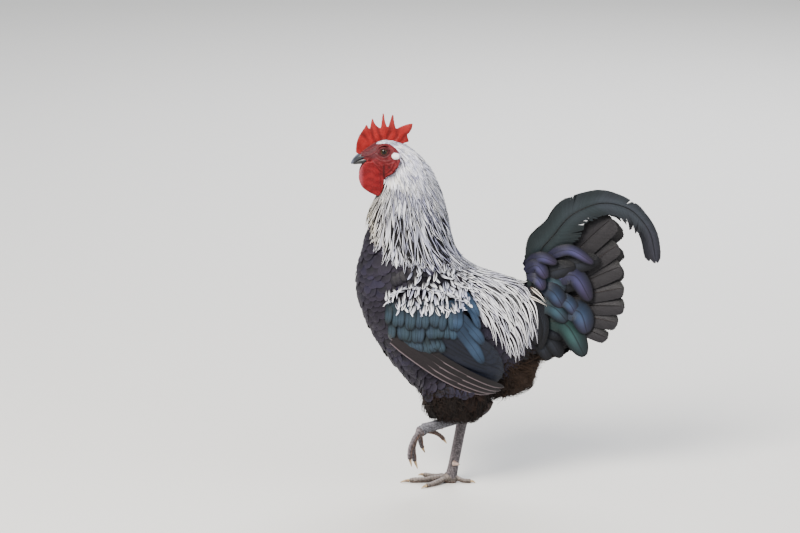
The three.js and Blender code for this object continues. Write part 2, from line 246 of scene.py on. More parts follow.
def settle(made: Piece, modifiers: Sequence[tuple[str, dict]]) -> Piece:
    """Applies modifiers to an object.

    Args:
        made: The object.
        modifiers: Kind and settings of each modifier, in order.

    Returns:
        The same object with its final mesh.
    """
    for kind, settings in modifiers:
        step = made.modifiers.new(kind, kind)
        for key, value in settings.items():
            setattr(step, key, value)
    shaped = made.evaluated_get(bpy.context.evaluated_depsgraph_get())
    mesh = bpy.data.meshes.new_from_object(shaped)
    made.modifiers.clear()
    made.data = mesh
    return made


def voxels(size: float, rounds: int) -> list[tuple[str, dict]]:
    """Gives the modifiers that fuse a mesh at a voxel size in millimetres and smooth it."""
    fuse = ("REMESH", {"mode": "VOXEL", "voxel_size": size * MM, "use_smooth_shade": True})
    return [fuse, ("SMOOTH", {"factor": 0.5, "iterations": rounds})]


def copy_nodes(name: str, nodes: Sequence[str], swell: float = 0.3) -> Piece:
    """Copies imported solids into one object, swollen so that neighbours overlap.

    Args:
        name: Name of the object.
        nodes: Names of the solids.
        swell: How far each face moves out, in millimetres.

    Returns:
        The joined copy.
    """
    shape = bmesh.new()
    for node in nodes:
        one = bmesh.new()
        one.from_mesh(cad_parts[node].data)
        bmesh.ops.remove_doubles(one, verts=one.verts, dist=1e-6)
        one.normal_update()
        for corner in one.verts:
            corner.co += corner.normal * swell * MM
        mesh = bpy.data.meshes.new("part")
        one.to_mesh(mesh)
        one.free()
        shape.from_mesh(mesh)
        bpy.data.meshes.remove(mesh)
    mesh = bpy.data.meshes.new(name)
    shape.to_mesh(mesh)
    shape.free()
    return link(name, mesh)


def join(made: Sequence[Piece]) -> Piece:
    """Joins objects into the first one, as loose shells of one mesh.

    Args:
        made: The objects.

    Returns:
        The first of them.
    """
    shape = bmesh.new()
    for one in made:
        shape.from_mesh(one.data)
    shape.to_mesh(made[0].data)
    shape.free()
    for one in made[1:]:
        bpy.data.objects.remove(one)
    return made[0]


def ball(name: str, centre: Sequence[float], size: Sequence[float], segments: int = 40) -> Piece:
    """Makes an oval ball with its poles on the Y axis.

    Args:
        name: Name of the object.
        centre: Its centre in millimetres.
        size: Half its size along X, Y and Z.
        segments: Corners around it.

    Returns:
        The new object.
    """
    shape = bmesh.new()
    bmesh.ops.create_uvsphere(shape, u_segments=segments, v_segments=segments * 2 // 3, radius=1)
    shape.verts.index_update()
    points = np.array([corner.co for corner in shape.verts])[:, [0, 2, 1]]
    made = add_object(name, points * size + centre, [[c.index for c in face.verts] for face in shape.faces])
    shape.free()
    tidy_faces(made)
    return made


def tidy_faces(made: Piece, triangles: bool = False) -> None:
    """Turns all faces of a closed shape outward.

    Args:
        made: The object.
        triangles: Whether faces are split to triangles first.
    """
    shape = bmesh.new()
    shape.from_mesh(made.data)
    if triangles:
        bmesh.ops.triangulate(shape, faces=shape.faces[:])
    bmesh.ops.recalc_face_normals(shape, faces=shape.faces[:])
    shape.to_mesh(made.data)
    shape.free()


def hollows(mesh: Mesh, rounds: int = 7) -> Array:
    """Finds how deep each corner lies in a crease, or how high on a ridge.

    Args:
        mesh: The mesh.
        rounds: How far the surroundings reach, in steps.

    Returns:
        Depth in millimetres, less than nothing on a ridge.
    """
    points, count = corners_of(mesh), len(mesh.vertices)
    flat = np.zeros(len(mesh.edges) * 2, np.int32)
    mesh.edges.foreach_get("vertices", flat)
    a, b = flat.reshape(-1, 2).T
    ends, others = np.r_[a, b], np.r_[b, a]
    degree = np.maximum(np.bincount(ends, minlength=count), 1)[:, None]
    soft = points
    for _ in range(rounds):
        near = np.stack([np.bincount(ends, column[others], count) for column in soft.T], axis=1)
        soft = (soft + near / degree) / 2
    return ((soft - points) * normals_of(mesh)).sum(1)


def rings(rows: int, sides: int) -> list[list[int]]:
    """Gives the faces of a tube with closed ends.

    Args:
        rows: How many rings of corners it has.
        sides: Corners of each ring.

    Returns:
        Corner numbers of each face.
    """
    last = rows * sides - 1
    faces = [list(range(sides)), list(range(last, last - sides, -1))]
    for r in range(rows - 1):
        for k in range(sides):
            a, b = r * sides + k, r * sides + (k + 1) % sides
            faces.append([b, a, a + sides, b + sides])
    return faces


def tube(line: Array, radii: Array, across: Array, sides: int = 10) -> tuple:
    """Makes a closed tube along a line.

    Args:
        line: Centre points.
        radii: Radius at each centre point.
        across: Direction that is never along the line.
        sides: Corners of each section.

    Returns:
        Corners and faces.
    """
    run = unit(np.gradient(line, axis=0))
    wide = unit(np.cross(run, across))
    high = np.cross(wide, run)
    turn = np.linspace(0, 2 * math.pi, sides, endpoint=False)[None, :, None]
    ring = wide[:, None] * np.cos(turn) + high[:, None] * np.sin(turn)
    points = (line[:, None] + ring * np.asarray(radii)[:, None, None]).reshape(-1, 3)
    return points, rings(len(line), sides)


def add_node(tree: bpy.types.NodeTree, kind: str, feeds: dict | Sequence = (), **settings) -> bpy.types.Node:
    """Adds one node with its settings and links.

    Args:
        tree: The material's nodes.
        kind: Blender's name for the node, without ShaderNode.
        feeds: For inputs by name or in order: a value, an output, or a node for its first output.
        **settings: Properties of the node.

    Returns:
        The new node.
    """
    node = tree.nodes.new("ShaderNode" + kind)
    for key, value in settings.items():
        setattr(node, key, value)
    for key, value in feeds.items() if isinstance(feeds, dict) else enumerate(feeds):
        if isinstance(value, bpy.types.Node):
            value = value.outputs[0]
        if isinstance(value, bpy.types.NodeSocket):
            tree.links.new(value, node.inputs[key])
        else:
            node.inputs[key].default_value = value
    return node


# ---- finishes
class Finish:
    """What every finish shares: a new material, and the shader at its end."""

    name: str

    def material(self) -> Material:
        """Builds the material.

        Returns:
            The material.
        """
        made = bpy.data.materials.new(self.name)
        made.use_nodes = True
        made.node_tree.nodes.clear()
        self.fill(partial(add_node, made.node_tree))
        return made

    def close(self, add: Callable, tone: Feed, gain: Feed, values: dict, relief: tuple = ()) -> None:
        """Ends a material with its shader and output.

        Args:
            add: Adds a node to the material.
            tone: Its colour.
            gain: How much lighter or darker the colour gets.
            values: The shader's other values.
            relief: Height, strength and depth in millimetres of the surface's fine relief.
        """
        values["Base Color"] = add("VectorMath", {0: tone, "Scale": gain}, operation="SCALE")
        if relief:
            height, strength, depth = relief
            values["Normal"] = add("Bump", {"Height": height, "Strength": strength, "Distance": depth * MM})
        add("OutputMaterial", [add("BsdfPrincipled", values)])


@dataclass(frozen=True)
class VaneKeratin(Finish):
    """Feather vane: keratin barbs hooked into a web, grown with a matt to silky face.

    Fine barbs slant out from a central shaft, so the light runs along them in soft streaks.
    """

    name: str
    shaft: str  # colour of the shaft and of the stripe beside it
    stripe: tuple[float, float] = (0.1, 0.22)  # half width of the stripe, and where it fades out
    roughness: float = 0.5
    specular: float = 0.12  # barbs trap light, so a vane mirrors less than solid keratin
    sheen: float = 0.02
    gloss: float = 0.0  # clear, oily coat of preened feathers
    barb_spacing: float = 1.1  # real barbs are 0.3 mm apart, too fine to show, so they are coarser
    barb_depth: float = 0.06
    shade: float = 0.14  # painted shade: how much darker the gaps between barbs are
    course: tuple[float, float] = (1.0, -1.3)  # barbs cross the shaft at a slant, or run (0, 1) along

    def fill(self, add: Callable) -> None:
        """Adds the vane's nodes.

        Args:
            add: Adds a node to the material.
        """
        mark, across, along, share = (
            add("Attribute", attribute_name=name).outputs["Fac"]
            for name in ("stripe", "across", "along", "share"))
        far = add("Math", [across], operation="ABSOLUTE")
        reach = add("Math", [along, self.course[0]], operation="MULTIPLY")
        slant = add("Math", [far, self.course[1], reach], operation="MULTIPLY_ADD")
        uneven = add("TexNoise", {"Vector": add("NewGeometry"), "Scale": 420.0})
        phase = add("Math", [uneven, 2.0, slant], operation="MULTIPLY_ADD")
        turn = add("Math", [phase, 2 * math.pi / self.barb_spacing], operation="MULTIPLY")
        barbs = add("Math", [turn], operation="SINE")
        rim = add("Math", [share], operation="ABSOLUTE")
        core = add("MapRange", [rim, *self.stripe, 1.0, 0.0], interpolation_type="SMOOTHSTEP")
        lined = add("Math", [core, mark], operation="MULTIPLY")
        tone = add("Attribute", attribute_name="tone")
        striped = add("Mix", {0: lined, 6: tone, 7: (*linear(self.shaft), 1)}, data_type="RGBA").outputs[2]
        # painted shade: the colour darkens in the gaps between barbs
        gaps = add("MapRange", [barbs, -1.0, 1.0, 1 - self.shade, 1.0])
        quill = add("MapRange", [far, 0.2, 0.7, 2.5, 0.0])
        height = add("Math", [barbs, quill], operation="ADD")
        values = {"Roughness": self.roughness, "Specular IOR Level": self.specular, "IOR": 1.54,
            "Sheen Weight": self.sheen, "Sheen Roughness": 0.4,
            "Coat Weight": self.gloss, "Coat Roughness": 0.35}
        self.close(add, striped, gaps, values, (height, 0.6, self.barb_depth))


@dataclass(frozen=True)
class LivingSkin(Finish):
    """Bare skin of a fowl: soft, blood-filled and finely pebbled.

    Light sinks in a little, and the pebbles catch small glints, so it looks moist and not like paint.
    """

    name: str
    pebble: float = 1.3  # real papillae on a comb are about 0.5 mm, so they are drawn coarser
    relief: float = 0.35
    roughness: float = 0.48
    specular: float = 0.22  # moist but soft, so glints stay small
    depth: float = 0.1  # share of light that scatters under the surface
    pit_shade: float = 0.28  # painted shade: how much darker the gaps between pebbles are

    def fill(self, add: Callable) -> None:
        """Adds the skin's nodes.

        Args:
            add: Adds a node to the material.
        """
        place = add("NewGeometry")
        cells = add("TexVoronoi", {"Vector": place, "Scale": 1 / (self.pebble * MM)})
        folds = add("TexNoise", {"Vector": place, "Scale": 260.0, "Detail": 4.0, "Distortion": 0.8})
        dome = add("MapRange", [cells, 0.0, 0.75, 1.0, 0.0])
        height = add("Math", [folds, 1.5, dome], operation="MULTIPLY_ADD")
        # painted shade between the pebbles, and a faint painted highlight on their tops
        pebble_shade = add("MapRange", [dome, 0.0, 1.0, 1 - self.pit_shade, 1.08])
        values = {"Roughness": self.roughness, "IOR": 1.4, "Specular IOR Level": self.specular,
            "Subsurface Weight": self.depth, "Subsurface Radius": (1.0, 0.35, 0.25),
            "Subsurface Scale": 1.2 * MM}
        self.close(add, add("Attribute", attribute_name="tone"), pebble_shade, values, (height, 0.7, self.relief))


@dataclass(frozen=True)
class ScaledSkin(Finish):
    """Leg skin: dry plates of keratin, broad in front and small round ones at the sides."""

    name: str
    plate: float = 4.6  # a broad plate is about 4 to 5 mm along the leg
    grain: float = 2.2  # a small side scale
    roughness: float = 0.52

    def fill(self, add: Callable) -> None:
        """Adds the scales' nodes.

        Args:
            add: Adds a node to the material.
        """
        along, front = (add("Attribute", attribute_name=name).outputs["Fac"] for name in ("along", "front"))
        place = add("NewGeometry")
        bend = add("TexNoise", {"Vector": place, "Scale": 160.0})
        shift = add("Math", [bend, 2.4, along], operation="MULTIPLY_ADD")
        step = add("Math", [shift, 1 / self.plate], operation="MULTIPLY")
        saw = add("Math", [step], operation="FRACT")
        edge = add("MapRange", [saw, 0.0, 0.3], interpolation_type="SMOOTHSTEP")
        cells = add("TexVoronoi", {"Vector": place, "Scale": 1 / (self.grain * MM)})
        dome = add("MapRange", [cells, 0.25, 0.62, 1.0, 0.0])
        form = add("Mix", {0: front, 2: dome, 3: edge}, data_type="FLOAT")
        # painted shade at the seams of the broad plates and between the small scales, and a faint painted
        # highlight on their tops
        light = add("MapRange", [form, 0.0, 1.0, 0.34, 1.12])
        values = {"Roughness": self.roughness, "IOR": 1.5, "Specular IOR Level": 0.25}
        self.close(add, add("Attribute", attribute_name="tone"), light, values, (form, 0.8, 0.45))


@dataclass(frozen=True)
class Horn(Finish):
    """Beak, claw and spur horn: dense keratin laid down in sheets, worn smooth by use.

    It is half glossy, and faint growth streaks run along it.
    """

    name: str
    roughness: float = 0.34
    streak: float = 1.0  # millimetres between streaks

    def fill(self, add: Callable) -> None:
        """Adds the horn's nodes.

        Args:
            add: Adds a node to the material.
        """
        drawn = add("Mapping", {"Vector": add("NewGeometry"), "Scale": (0.25, 1.0, 1.0)})
        streaks = add("TexNoise", {"Vector": drawn, "Detail": 3.0, "Scale": 1 / (self.streak * MM)})
        worn = add("MapRange", [streaks, 0.3, 0.7, 0.78, 1.15])
        dull = add("MapRange", [streaks, 0.0, 1.0, self.roughness - 0.1, 0.6])
        values = {"Roughness": dull, "IOR": 1.54}
        self.close(add, add("Attribute", attribute_name="tone"), worn, values, (streaks, 0.4, 0.12))


@dataclass(frozen=True)
class WetEye(Finish):
    """Eye of a bird: a wet, clear cornea over an amber iris with a round black pupil."""

    name: str
    centre: Spot
    iris: str = "#35250f"
    rim: str = "#1c120a"
    pupil: float = 2.7
    edge: float = 4.7  # radius of the iris
    reach: float = 6.0  # radius at which the bands end

    def fill(self, add: Callable) -> None:
        """Adds the eye's nodes.

        Args:
            add: Adds a node to the material.
        """
        place = add("NewGeometry")
        off = add("VectorMath", [place, tuple(c * MM for c in self.centre)], operation="SUBTRACT")
        seen = add("VectorMath", [off, (1.0, 0.0, 1.0)], operation="MULTIPLY")
        out = add("VectorMath", [seen], operation="LENGTH").outputs["Value"]
        bands = add("ValToRGB", [add("MapRange", [out, 0.0, self.reach * MM])])
        pupil, edge = self.pupil / self.reach, self.edge / self.reach
        stops = [(0.0, "#050404"), (pupil - 0.02, "#050404"), (pupil + 0.03, self.rim),
            (pupil + 0.12, self.iris), (edge - 0.05, self.iris), (edge + 0.04, "#120c0a"), (1.0, "#120c0a")]
        ramp = bands.color_ramp.elements
        for spot, colour in stops[2:]:
            ramp.new(spot).color = (*linear(colour), 1)
        for stop, (spot, colour) in zip(ramp, stops):
            stop.position, stop.color = spot, (*linear(colour), 1)
        rays = add("TexNoise", {"Vector": place, "Scale": 900.0})
        flecks = add("MapRange", [rays, 0.0, 1.0, 0.6, 1.3])
        self.close(add, bands, flecks, {"Roughness": 0.3, "IOR": 1.38, "Specular IOR Level": 0.1,
            "Coat Weight": 0.3, "Coat Roughness": 0.02})


@dataclass(frozen=True)
class FloorPaint(Finish):
    """Pale, matt painted board with a faint unevenness."""

    name: str = "floor_paint_matt"

    def fill(self, add: Callable) -> None:
        """Adds the floor's nodes.

        Args:
            add: Adds a node to the material.
        """
        cloud = add("TexNoise", {"Scale": 0.4, "Detail": 2.0})
        light, dark = ((*linear(colour), 1) for colour in ("#dbd9d5", "#d3d1cc"))
        tone = add("Mix", {0: cloud, 6: dark, 7: light}, data_type="RGBA").outputs[2]
        self.close(add, tone, 1.0, {"Roughness": 0.85})


# ---- the surface that feathers follow
class Surface:
    """A closed skin shape that can be asked for its nearest point."""

    def __init__(self, made: Piece) -> None:
        """Reads the shape of an object.

        Args:
            made: The object.
        """
        mesh = made.data
        mesh.calc_loop_triangles()
        self.points = corners_of(mesh)
        self.normals = normals_of(mesh)
        flat = np.zeros(len(mesh.loop_triangles) * 3, np.int32)
        mesh.loop_triangles.foreach_get("vertices", flat)
        self.faces = flat.reshape(-1, 3)
        self.tree = BVHTree.FromPolygons(self.points.tolist(), self.faces.tolist())

    def _read(self, hits: list) -> tuple[Array, Array]:
        """Turns search results to points and smooth outward directions.

        Args:
            hits: What the search found.

        Returns:
            Points and outward directions.
        """
        points = np.array([hit[0] for hit in hits], float)
        faces = np.array([hit[2] for hit in hits])
        return points, unit(self.normals[self.faces[faces]].mean(1))

    def nearest(self, places: Array) -> tuple[Array, Array]:
        """Finds the nearest points on the surface, with their outward directions."""
        return self._read([self.tree.find_nearest(p) for p in places.tolist()])

    def distance(self, places: Array) -> Array:
        """Measures how far each place is from the surface."""
        return np.array([self.tree.find_nearest(p)[3] for p in places.tolist()])

    def from_side(self, places: Array, side: Side) -> tuple[Array, Array]:
        """Drops places seen from one side onto the surface.

        Args:
            places: X and Z of each place.
            side: The side they are dropped from.

        Returns:
            Points and outward directions.
        """
        way = Vector((0, -side.value, 0))
        hits = []
        for x, z in places.tolist():
            hit = self.tree.ray_cast(Vector((x, side.value * OUTSIDE, z)), way)
            hits.append(hit if hit[0] else self.tree.find_nearest(Vector((x, side.value * 50, z))))
        return self._read(hits)

    def scatter(self, keep: Callable[[Array], Array], spacing: float, seed: int) -> Array:
        """Spreads roots over part of the surface at an even distance.

        Args:
            keep: Says which points belong to the part.
            spacing: Least distance between roots in millimetres.
            seed: Which draw.

        Returns:
            Root points.
        """
        rng = np.random.default_rng(seed)
        a, b, c = (self.points[self.faces[:, k]] for k in range(3))
        area = np.linalg.norm(np.cross(b - a, c - a), axis=1) / 2
        part = keep((a + b + c) / 3)
        area = np.where(part, area, 0)
        count = int(area.sum() / spacing**2 * TRIES)
        pick = rng.choice(len(area), count, p=area / area.sum())
        u, v = rng.random((2, count, 1))
        fold = u + v > 1
        u, v = np.where(fold, 1 - u, u), np.where(fold, 1 - v, v)
        spots = a[pick] + (b[pick] - a[pick]) * u + (c[pick] - a[pick]) * v
        tree = KDTree(count)
        for i, spot in enumerate(spots.tolist()):
            tree.insert(spot, i)
        tree.balance()
        free = np.ones(count, bool)
        chosen = []
        for i, spot in enumerate(spots.tolist()):
            if free[i]:
                chosen.append(i)
                for _, j, _ in tree.find_range(spot, spacing):
                    free[j] = False
        return spots[chosen]


@dataclass(frozen=True)
class Lie:
    """The way the coat lies, as directions at places in side view."""

    keys: tuple[tuple[float, float, float, float], ...] = ((-105, 528, 1.0, 0.1), (-60, 520, 0.45, -0.9),
        (-84, 512, 0.75, -0.65), (-82, 495, 0.35, -0.95), (-108, 450, -0.12, -1), (-125, 410, -0.15, -1),
        (-70, 440, 0.12, -1), (-15, 440, 0.35, -0.93), (-60, 380, 0.12, -1), (-110, 375, -0.1, -1),
        (0, 380, 0.5, -0.85), (-20, 345, 0.4, -0.9), (-140, 330, 0.12, -1), (-128, 250, 0.5, -0.88),
        (-90, 195, 0.75, -0.65), (-40, 130, 0.95, -0.3), (-90, 300, 0.4, -0.9), (-60, 240, 0.7, -0.6),
        (0, 200, 0.8, -0.5), (40, 350, 0.85, -0.5), (60, 318, 0.6, -0.78), (92, 330, 0.8, -0.6),
        (60, 270, 0.5, -0.87), (95, 270, 0.33, -0.94), (112, 312, 0.4, -0.9), (120, 285, 0.14, -0.99),
        (112, 240, 0.16, -0.98), (150, 300, 1, 0.15), (150, 210, 0.95, -0.2), (90, 165, 0.75, -0.6),
        (10, 125, 0.15, -1), (50, 130, 0.3, -0.95), (125, 318, 0.95, 0.3))
    softness: float = 30.0  # keeps the pull level close to a key, in square millimetres
    fall_off: float = 1.8  # how fast a key's pull fades with the distance

    def at(self, places: Array) -> Array:
        """Gives the direction at each place, level with the middle plane.

        Args:
            places: Points in millimetres.

        Returns:
            One direction for each place.
        """
        table = np.array(self.keys, float)
        gap = places[:, None, [0, 2]] - table[None, :, :2]
        pull = 1 / ((gap**2).sum(-1) + self.softness) ** self.fall_off
        way = (pull[..., None] * unit(table[:, 2:])).sum(1)
        return unit(np.stack([way[:, 0], np.zeros(len(way)), way[:, 1]], axis=1))


# The body's middle line, along which the skin is unrolled for the baking map.
SPINE = smooth_line([(-150, 505), (-100, 508), (-66, 440), (-60, 350), (-20, 250), (60, 225), (130, 250),
    (320, 380)], 120)


def unrolled(places: Array) -> Array:
    """Places points on a flat unwrap of the body: along its middle line, and round it.

    Args:
        places: Points in millimetres.

    Returns:
        Two numbers from 0.02 to 0.98 for each point.
    """
    gap = places[:, None, [0, 2]] - SPINE[None]
    near = (gap**2).sum(-1).argmin(1)
    run = unit(np.gradient(SPINE, axis=0))[near]
    off = gap[np.arange(len(places)), near]
    above = off[:, 1] * run[:, 0] - off[:, 0] * run[:, 1]
    round_it = np.arctan2(places[:, 1], above) / (2 * math.pi) + 0.5
    return 0.02 + 0.96 * np.stack([near / (len(SPINE) - 1) + round_it * 0.004, round_it], axis=1)


# ---- feathers
@dataclass(frozen=True)
class Vane:
    """One kind of feather as a thin closed vane."""

    half_width: float
    tip: Tip = Tip.ROUND
    root_depth: float = 6.0  # how deep the root sits under the coat's face
    tip_lift: float = 1.0  # how far the tip stands over it
    rise: float = 1.0  # above 1 the feather stays low until near its tip
    camber: float = 0.22
    rows: int = 7
    columns: int = 5
    thickness: float = 0.4
    stray: float = 0.12  # random turn in radians
    curl: float = 0.0  # steady turn along the feather in radians
    roll: float = 0.1  # random lean to one side in radians
    blunt: float = 0.3  # width at the root as a share

    def shares(self) -> Array:
        """Gives the rows' places along the feather, closer at the tip."""
        return 1 - (1 - np.linspace(0, 1, self.rows)) ** 1.5

    def laid(self, line: Line, fine: int = 60) -> Array:
        """Gives the points of a smooth line at the feather's rows."""
        return smooth_line(line, fine)[(self.shares() * (fine - 1)).round().astype(int)]

    def widths(self) -> Array:
        """Gives the half width at each row as a share of the widest.

        Returns:
            One share for each row.
        """
        t = self.shares()
        start, power = self.tip.value
        close = np.clip((t - start) / (1 - start), 0, 1)
        return np.maximum(np.minimum(1, self.blunt + 2.6 * t) * (1 - close**power) ** (1 / power), 0.05)


@dataclass
class Batch:
    """Feathers of one kind with their centre lines, ready to become vanes."""

    vane: Vane
    lines: Array  # feather, row, 3
    normals: Array
    widths: Array  # feather, row
    tones: Array  # feather, row, column, 3
    stripes: Array  # feather, row

    def paint(self, tones: Array | str) -> None:
        """Gives each feather one colour, or all the same."""
        self.tones[:] = linear(tones) if isinstance(tones, str) else tones[:, None, None]

    def tint(self, colour: str, share: Array | float) -> None:
        """Blends towards a colour by a share for each feather, row and column."""
        self.tones[:] = mix(self.tones, colour, np.broadcast_to(share, self.tones.shape[:3]))

    def shade(self, far: float | Array, colour: str) -> None:
        """Blends towards a colour at the root, over a share of the length for each feather: dark down plus
        painted shade.
        """
        t = self.vane.shares()[None, :] / np.reshape(far, (-1, 1))
        self.tint(colour, (1 - ease(0, 1, t))[..., None])

    def rim(self, colour: str, strength: float, inner: float = 0.6, end: float = 0.9) -> None:
        """Blends towards a colour along the rim and end of each feather: painted shade where it meets the
        feathers around it.

        Args:
            colour: Colour of the rim.
            strength: How strong it is at the very edge.
            inner: Where across the feather it starts.
            end: Where along the feather it starts.
        """
        edge = np.abs(np.linspace(-1, 1, self.vane.columns))[None, None]
        t = self.vane.shares()[None, :, None]
        self.tint(colour, np.maximum(ease(inner, 1, edge) * ease(0.1, 0.4, t), ease(end, 1, t)) * strength)


def lift(vane: Vane, lines: Array, normals: Array, rng: Random) -> Batch:
    """Raises feathers off their surface, from a deep root to a free tip.

    Args:
        vane: Their kind.
        lines: Centre lines on the surface.
        normals: Outward directions along them.
        rng: Source of small differences.

    Returns:
        The feathers, in one plain colour.
    """
    count, rows = lines.shape[:2]
    t = vane.shares()[None, :] ** vane.rise
    top = vane.tip_lift + rng.uniform(-0.4, 0.4, (count, 1)) * min(1.0, abs(vane.tip_lift) + 0.3)
    lines = lines + normals * (-vane.root_depth * (1 - t) + top * t)[..., None]
    run = unit(np.gradient(lines, axis=1))
    normals = unit(normals - run * (normals * run).sum(-1, keepdims=True))
    lean = rng.normal(0, vane.roll, (count, 1, 1))
    normals = normals * np.cos(lean) + np.cross(run, normals) * np.sin(lean)
    size = vane.half_width * rng.uniform(0.86, 1.14, (count, 1))
    tones = np.ones((count, rows, vane.columns, 3)) * 0.5
    return Batch(vane, lines, normals, size * vane.widths()[None], tones, np.zeros((count, rows)))


def tuck(made: Piece) -> Piece:
    """Raises the body's underside between the vent and the tail, where down leaves a notch.

    Args:
        made: The body.

    Returns:
        The same body.
    """
    points = corners_of(made.data)
    x, _, z = points.T
    points[:, 2] += 17 * ease(214, 170, z) * ease(112, 136, x)
    move_corners(made.data, points)
    return made


@dataclass
class Coat:
    """Feathers gathered into one mesh piece."""

    name: str
    surface: Surface | None = None  # what they lie on
    rng: Random | None = None  # source of small differences
    parts: list[dict[str, Array]] = field(default_factory=list)
    count: int = 0

    def grow(self, vane: Vane, roots: Array, lengths: Array, seed: int,
            lie: Callable[[Array], Array] | None = None) -> Batch:
        """Lays feathers along the surface from their roots.

        Args:
            vane: Their kind.
            roots: Root points.
            lengths: Length of each in millimetres.
            seed: Which draw.
            lie: Gives the direction at points, if not the usual one.

        Returns:
            The feathers, in one plain colour.
        """
        rng = np.random.default_rng(seed)
        shares = vane.shares()
        point, normal = self.surface.nearest(roots)
        lines, normals = [point], [normal]
        stray = rng.normal(0, vane.stray, len(roots))
        curl = vane.curl * rng.choice([-1, 1], len(roots)) * rng.uniform(0.5, 1.3, len(roots))
        for before, here in zip(shares, shares[1:]):
            way = (lie or LIE.at)(point)
            way = unit(way - normal * (way * normal).sum(1, keepdims=True))
            angle = (stray + curl * here)[:, None]
            way = way * np.cos(angle) + np.cross(normal, way) * np.sin(angle)
            point, normal = self.surface.nearest(point + way * (lengths * (here - before))[:, None])
            lines.append(point)
            normals.append(normal)
        return lift(vane, np.stack(lines, 1), np.stack(normals, 1), rng)

    def drape(self, side: Side, vane: Vane, lines: Array, rise: float) -> Batch:
        """Lays feathers that are drawn in side view over the surface.

        Args:
            side: The side they are dropped from.
            vane: Their kind.
            lines: X and Z of each feather's rows.
            rise: How much higher each feather lies than the one before, in millimetres.

        Returns:
            The feathers, in one plain colour.
        """
        count, rows = lines.shape[:2]
        points, normals = self.surface.from_side(lines.reshape(-1, 2), side)
        points, normals = points.reshape(count, rows, 3), normals.reshape(count, rows, 3)
        t = vane.shares()
        smooth = np.array([np.polyval(np.polyfit(t, p[:, 1], 3), t) for p in points])
        points = np.stack([lines[..., 0], smooth, lines[..., 1]], axis=-1)
        batch = lift(vane, points, unit(normals.mean(1, keepdims=True) * 2 + normals), self.rng)
        batch.lines += batch.normals * (np.arange(count) * rise)[:, None, None]
        return batch

    def blotched(self, colours: Sequence[str], places: Array, size: float, seed: int) -> Array:
        """Picks a colour for each place from a few, in soft drifts with small differences.

        Args:
            colours: Colours from one end of the drift to the other.
            places: Points in millimetres.
            size: Size of the drifts.
            seed: Which drifts.

        Returns:
            One colour for each place.
        """
        table = np.stack([linear(c) for c in colours])
        spot = np.clip(ripple(places, size, seed) * 0.5 + 0.5 + self.rng.normal(0, 0.16, len(places)), 0, 1)
        spot = spot * (len(table) - 1)
        low = np.minimum(spot.astype(int), len(table) - 2)
        return mix(table[low], table[low + 1], spot - low) * self.rng.uniform(0.86, 1.12, (len(places), 1))

    def add(self, batch: Batch) -> None:
        """Turns a batch to closed vanes: a domed web over a keel, with blunt ends.

        Args:
            batch: The feathers.
        """
        vane, (count, rows) = batch.vane, batch.widths.shape
        columns, ring = vane.columns, vane.columns + 1
        u = np.linspace(-1, 1, columns)
        w = batch.widths[:, :, None, None]
        wide = unit(np.cross(batch.normals, unit(np.gradient(batch.lines, axis=1))))
        dome = (1 - u**2)[None, None, :, None] * vane.camber * w
        top = batch.lines[:, :, None] + wide[:, :, None] * w * u[:, None] + batch.normals[:, :, None] * dome
        keel = top[:, :, columns // 2] - batch.normals * vane.thickness
        steps = np.linalg.norm(np.diff(batch.lines, axis=1), axis=-1)
        reach = np.concatenate([np.zeros((count, 1)), np.cumsum(steps, axis=1)], axis=1)
        spread = np.r_[u, 0.0]
        r, k = np.meshgrid(np.arange(rows - 1), np.arange(ring), indexing="ij")
        after = (k + 1) % ring
        web = np.stack([r * ring + k, (r + 1) * ring + k, (r + 1) * ring + after, r * ring + after], -1)
        ends = np.array([np.arange(ring), np.arange(rows * ring - 1, rows * ring - ring - 1, -1)])
        base = (np.arange(count) * rows * ring + self.count)[:, None]
        shape = (count, rows, ring)
        patch = unrolled(batch.lines[:, 0])[:, None, None] + PATCH * np.stack(
            [np.broadcast_to(spread / 2, shape), np.broadcast_to(vane.shares()[:, None] - 0.5, shape)], -1)
        tones = np.concatenate([batch.tones, batch.tones[:, :, columns // 2, None] * KEEL_SHADE], axis=2)
        self.parts.append({
            "points": np.concatenate([top, keel[:, :, None]], axis=2).reshape(-1, 3),
            "loops": np.concatenate([(side.reshape(1, -1) + base).ravel() for side in (web, ends)]),
            "sizes": np.r_[np.full(count * (rows - 1) * ring, 4), np.full(count * 2, ring)],
            "tone": tones.reshape(-1, 3),
            "stripe": np.broadcast_to(batch.stripes[:, :, None], shape).ravel(),
            "across": (batch.widths[:, :, None] * spread).ravel(),
            "share": np.broadcast_to(spread, shape).ravel(),
            "along": np.broadcast_to(reach[:, :, None], shape).ravel(),
            "patch": patch.reshape(-1, 2),
        })
        self.count += count * rows * ring

    def make(self, finish: Finish, slot: str, nodes: Sequence[str] = ()) -> None:
        """Builds the mesh piece, dresses it and lets it ride.

        Args:
            finish: Its finish.
            slot: The record's slot.
            nodes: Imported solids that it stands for.
        """
        whole = {key: np.concatenate([part[key] for part in self.parts]) for key in self.parts[0]}
        mesh = bpy.data.meshes.new(self.name)
        mesh.vertices.add(len(whole["points"]))
        mesh.loops.add(len(whole["loops"]))
        mesh.polygons.add(len(whole["sizes"]))
        mesh.vertices.foreach_set("co", (whole["points"] * MM).astype(np.float32).ravel())
        mesh.loops.foreach_set("vertex_index", whole["loops"].astype(np.int32))
        starts = np.r_[0, np.cumsum(whole["sizes"])[:-1]]
        mesh.polygons.foreach_set("loop_start", starts.astype(np.int32))
        mesh.update(calc_edges=True)
        mesh.shade_smooth()
        mesh.set_sharp_from_angle(angle=SHARP)
        baking = mesh.uv_layers.new(name="OFBake")
        baking.uv.foreach_set("vector", whole["patch"][whole["loops"]].astype(np.float32).ravel())
        write_marks(mesh, whole["tone"], {k: whole[k] for k in ("stripe", "across", "along", "share")})
        mesh.materials.append(finish.material())
        place(link(self.name, mesh), slot, nodes)


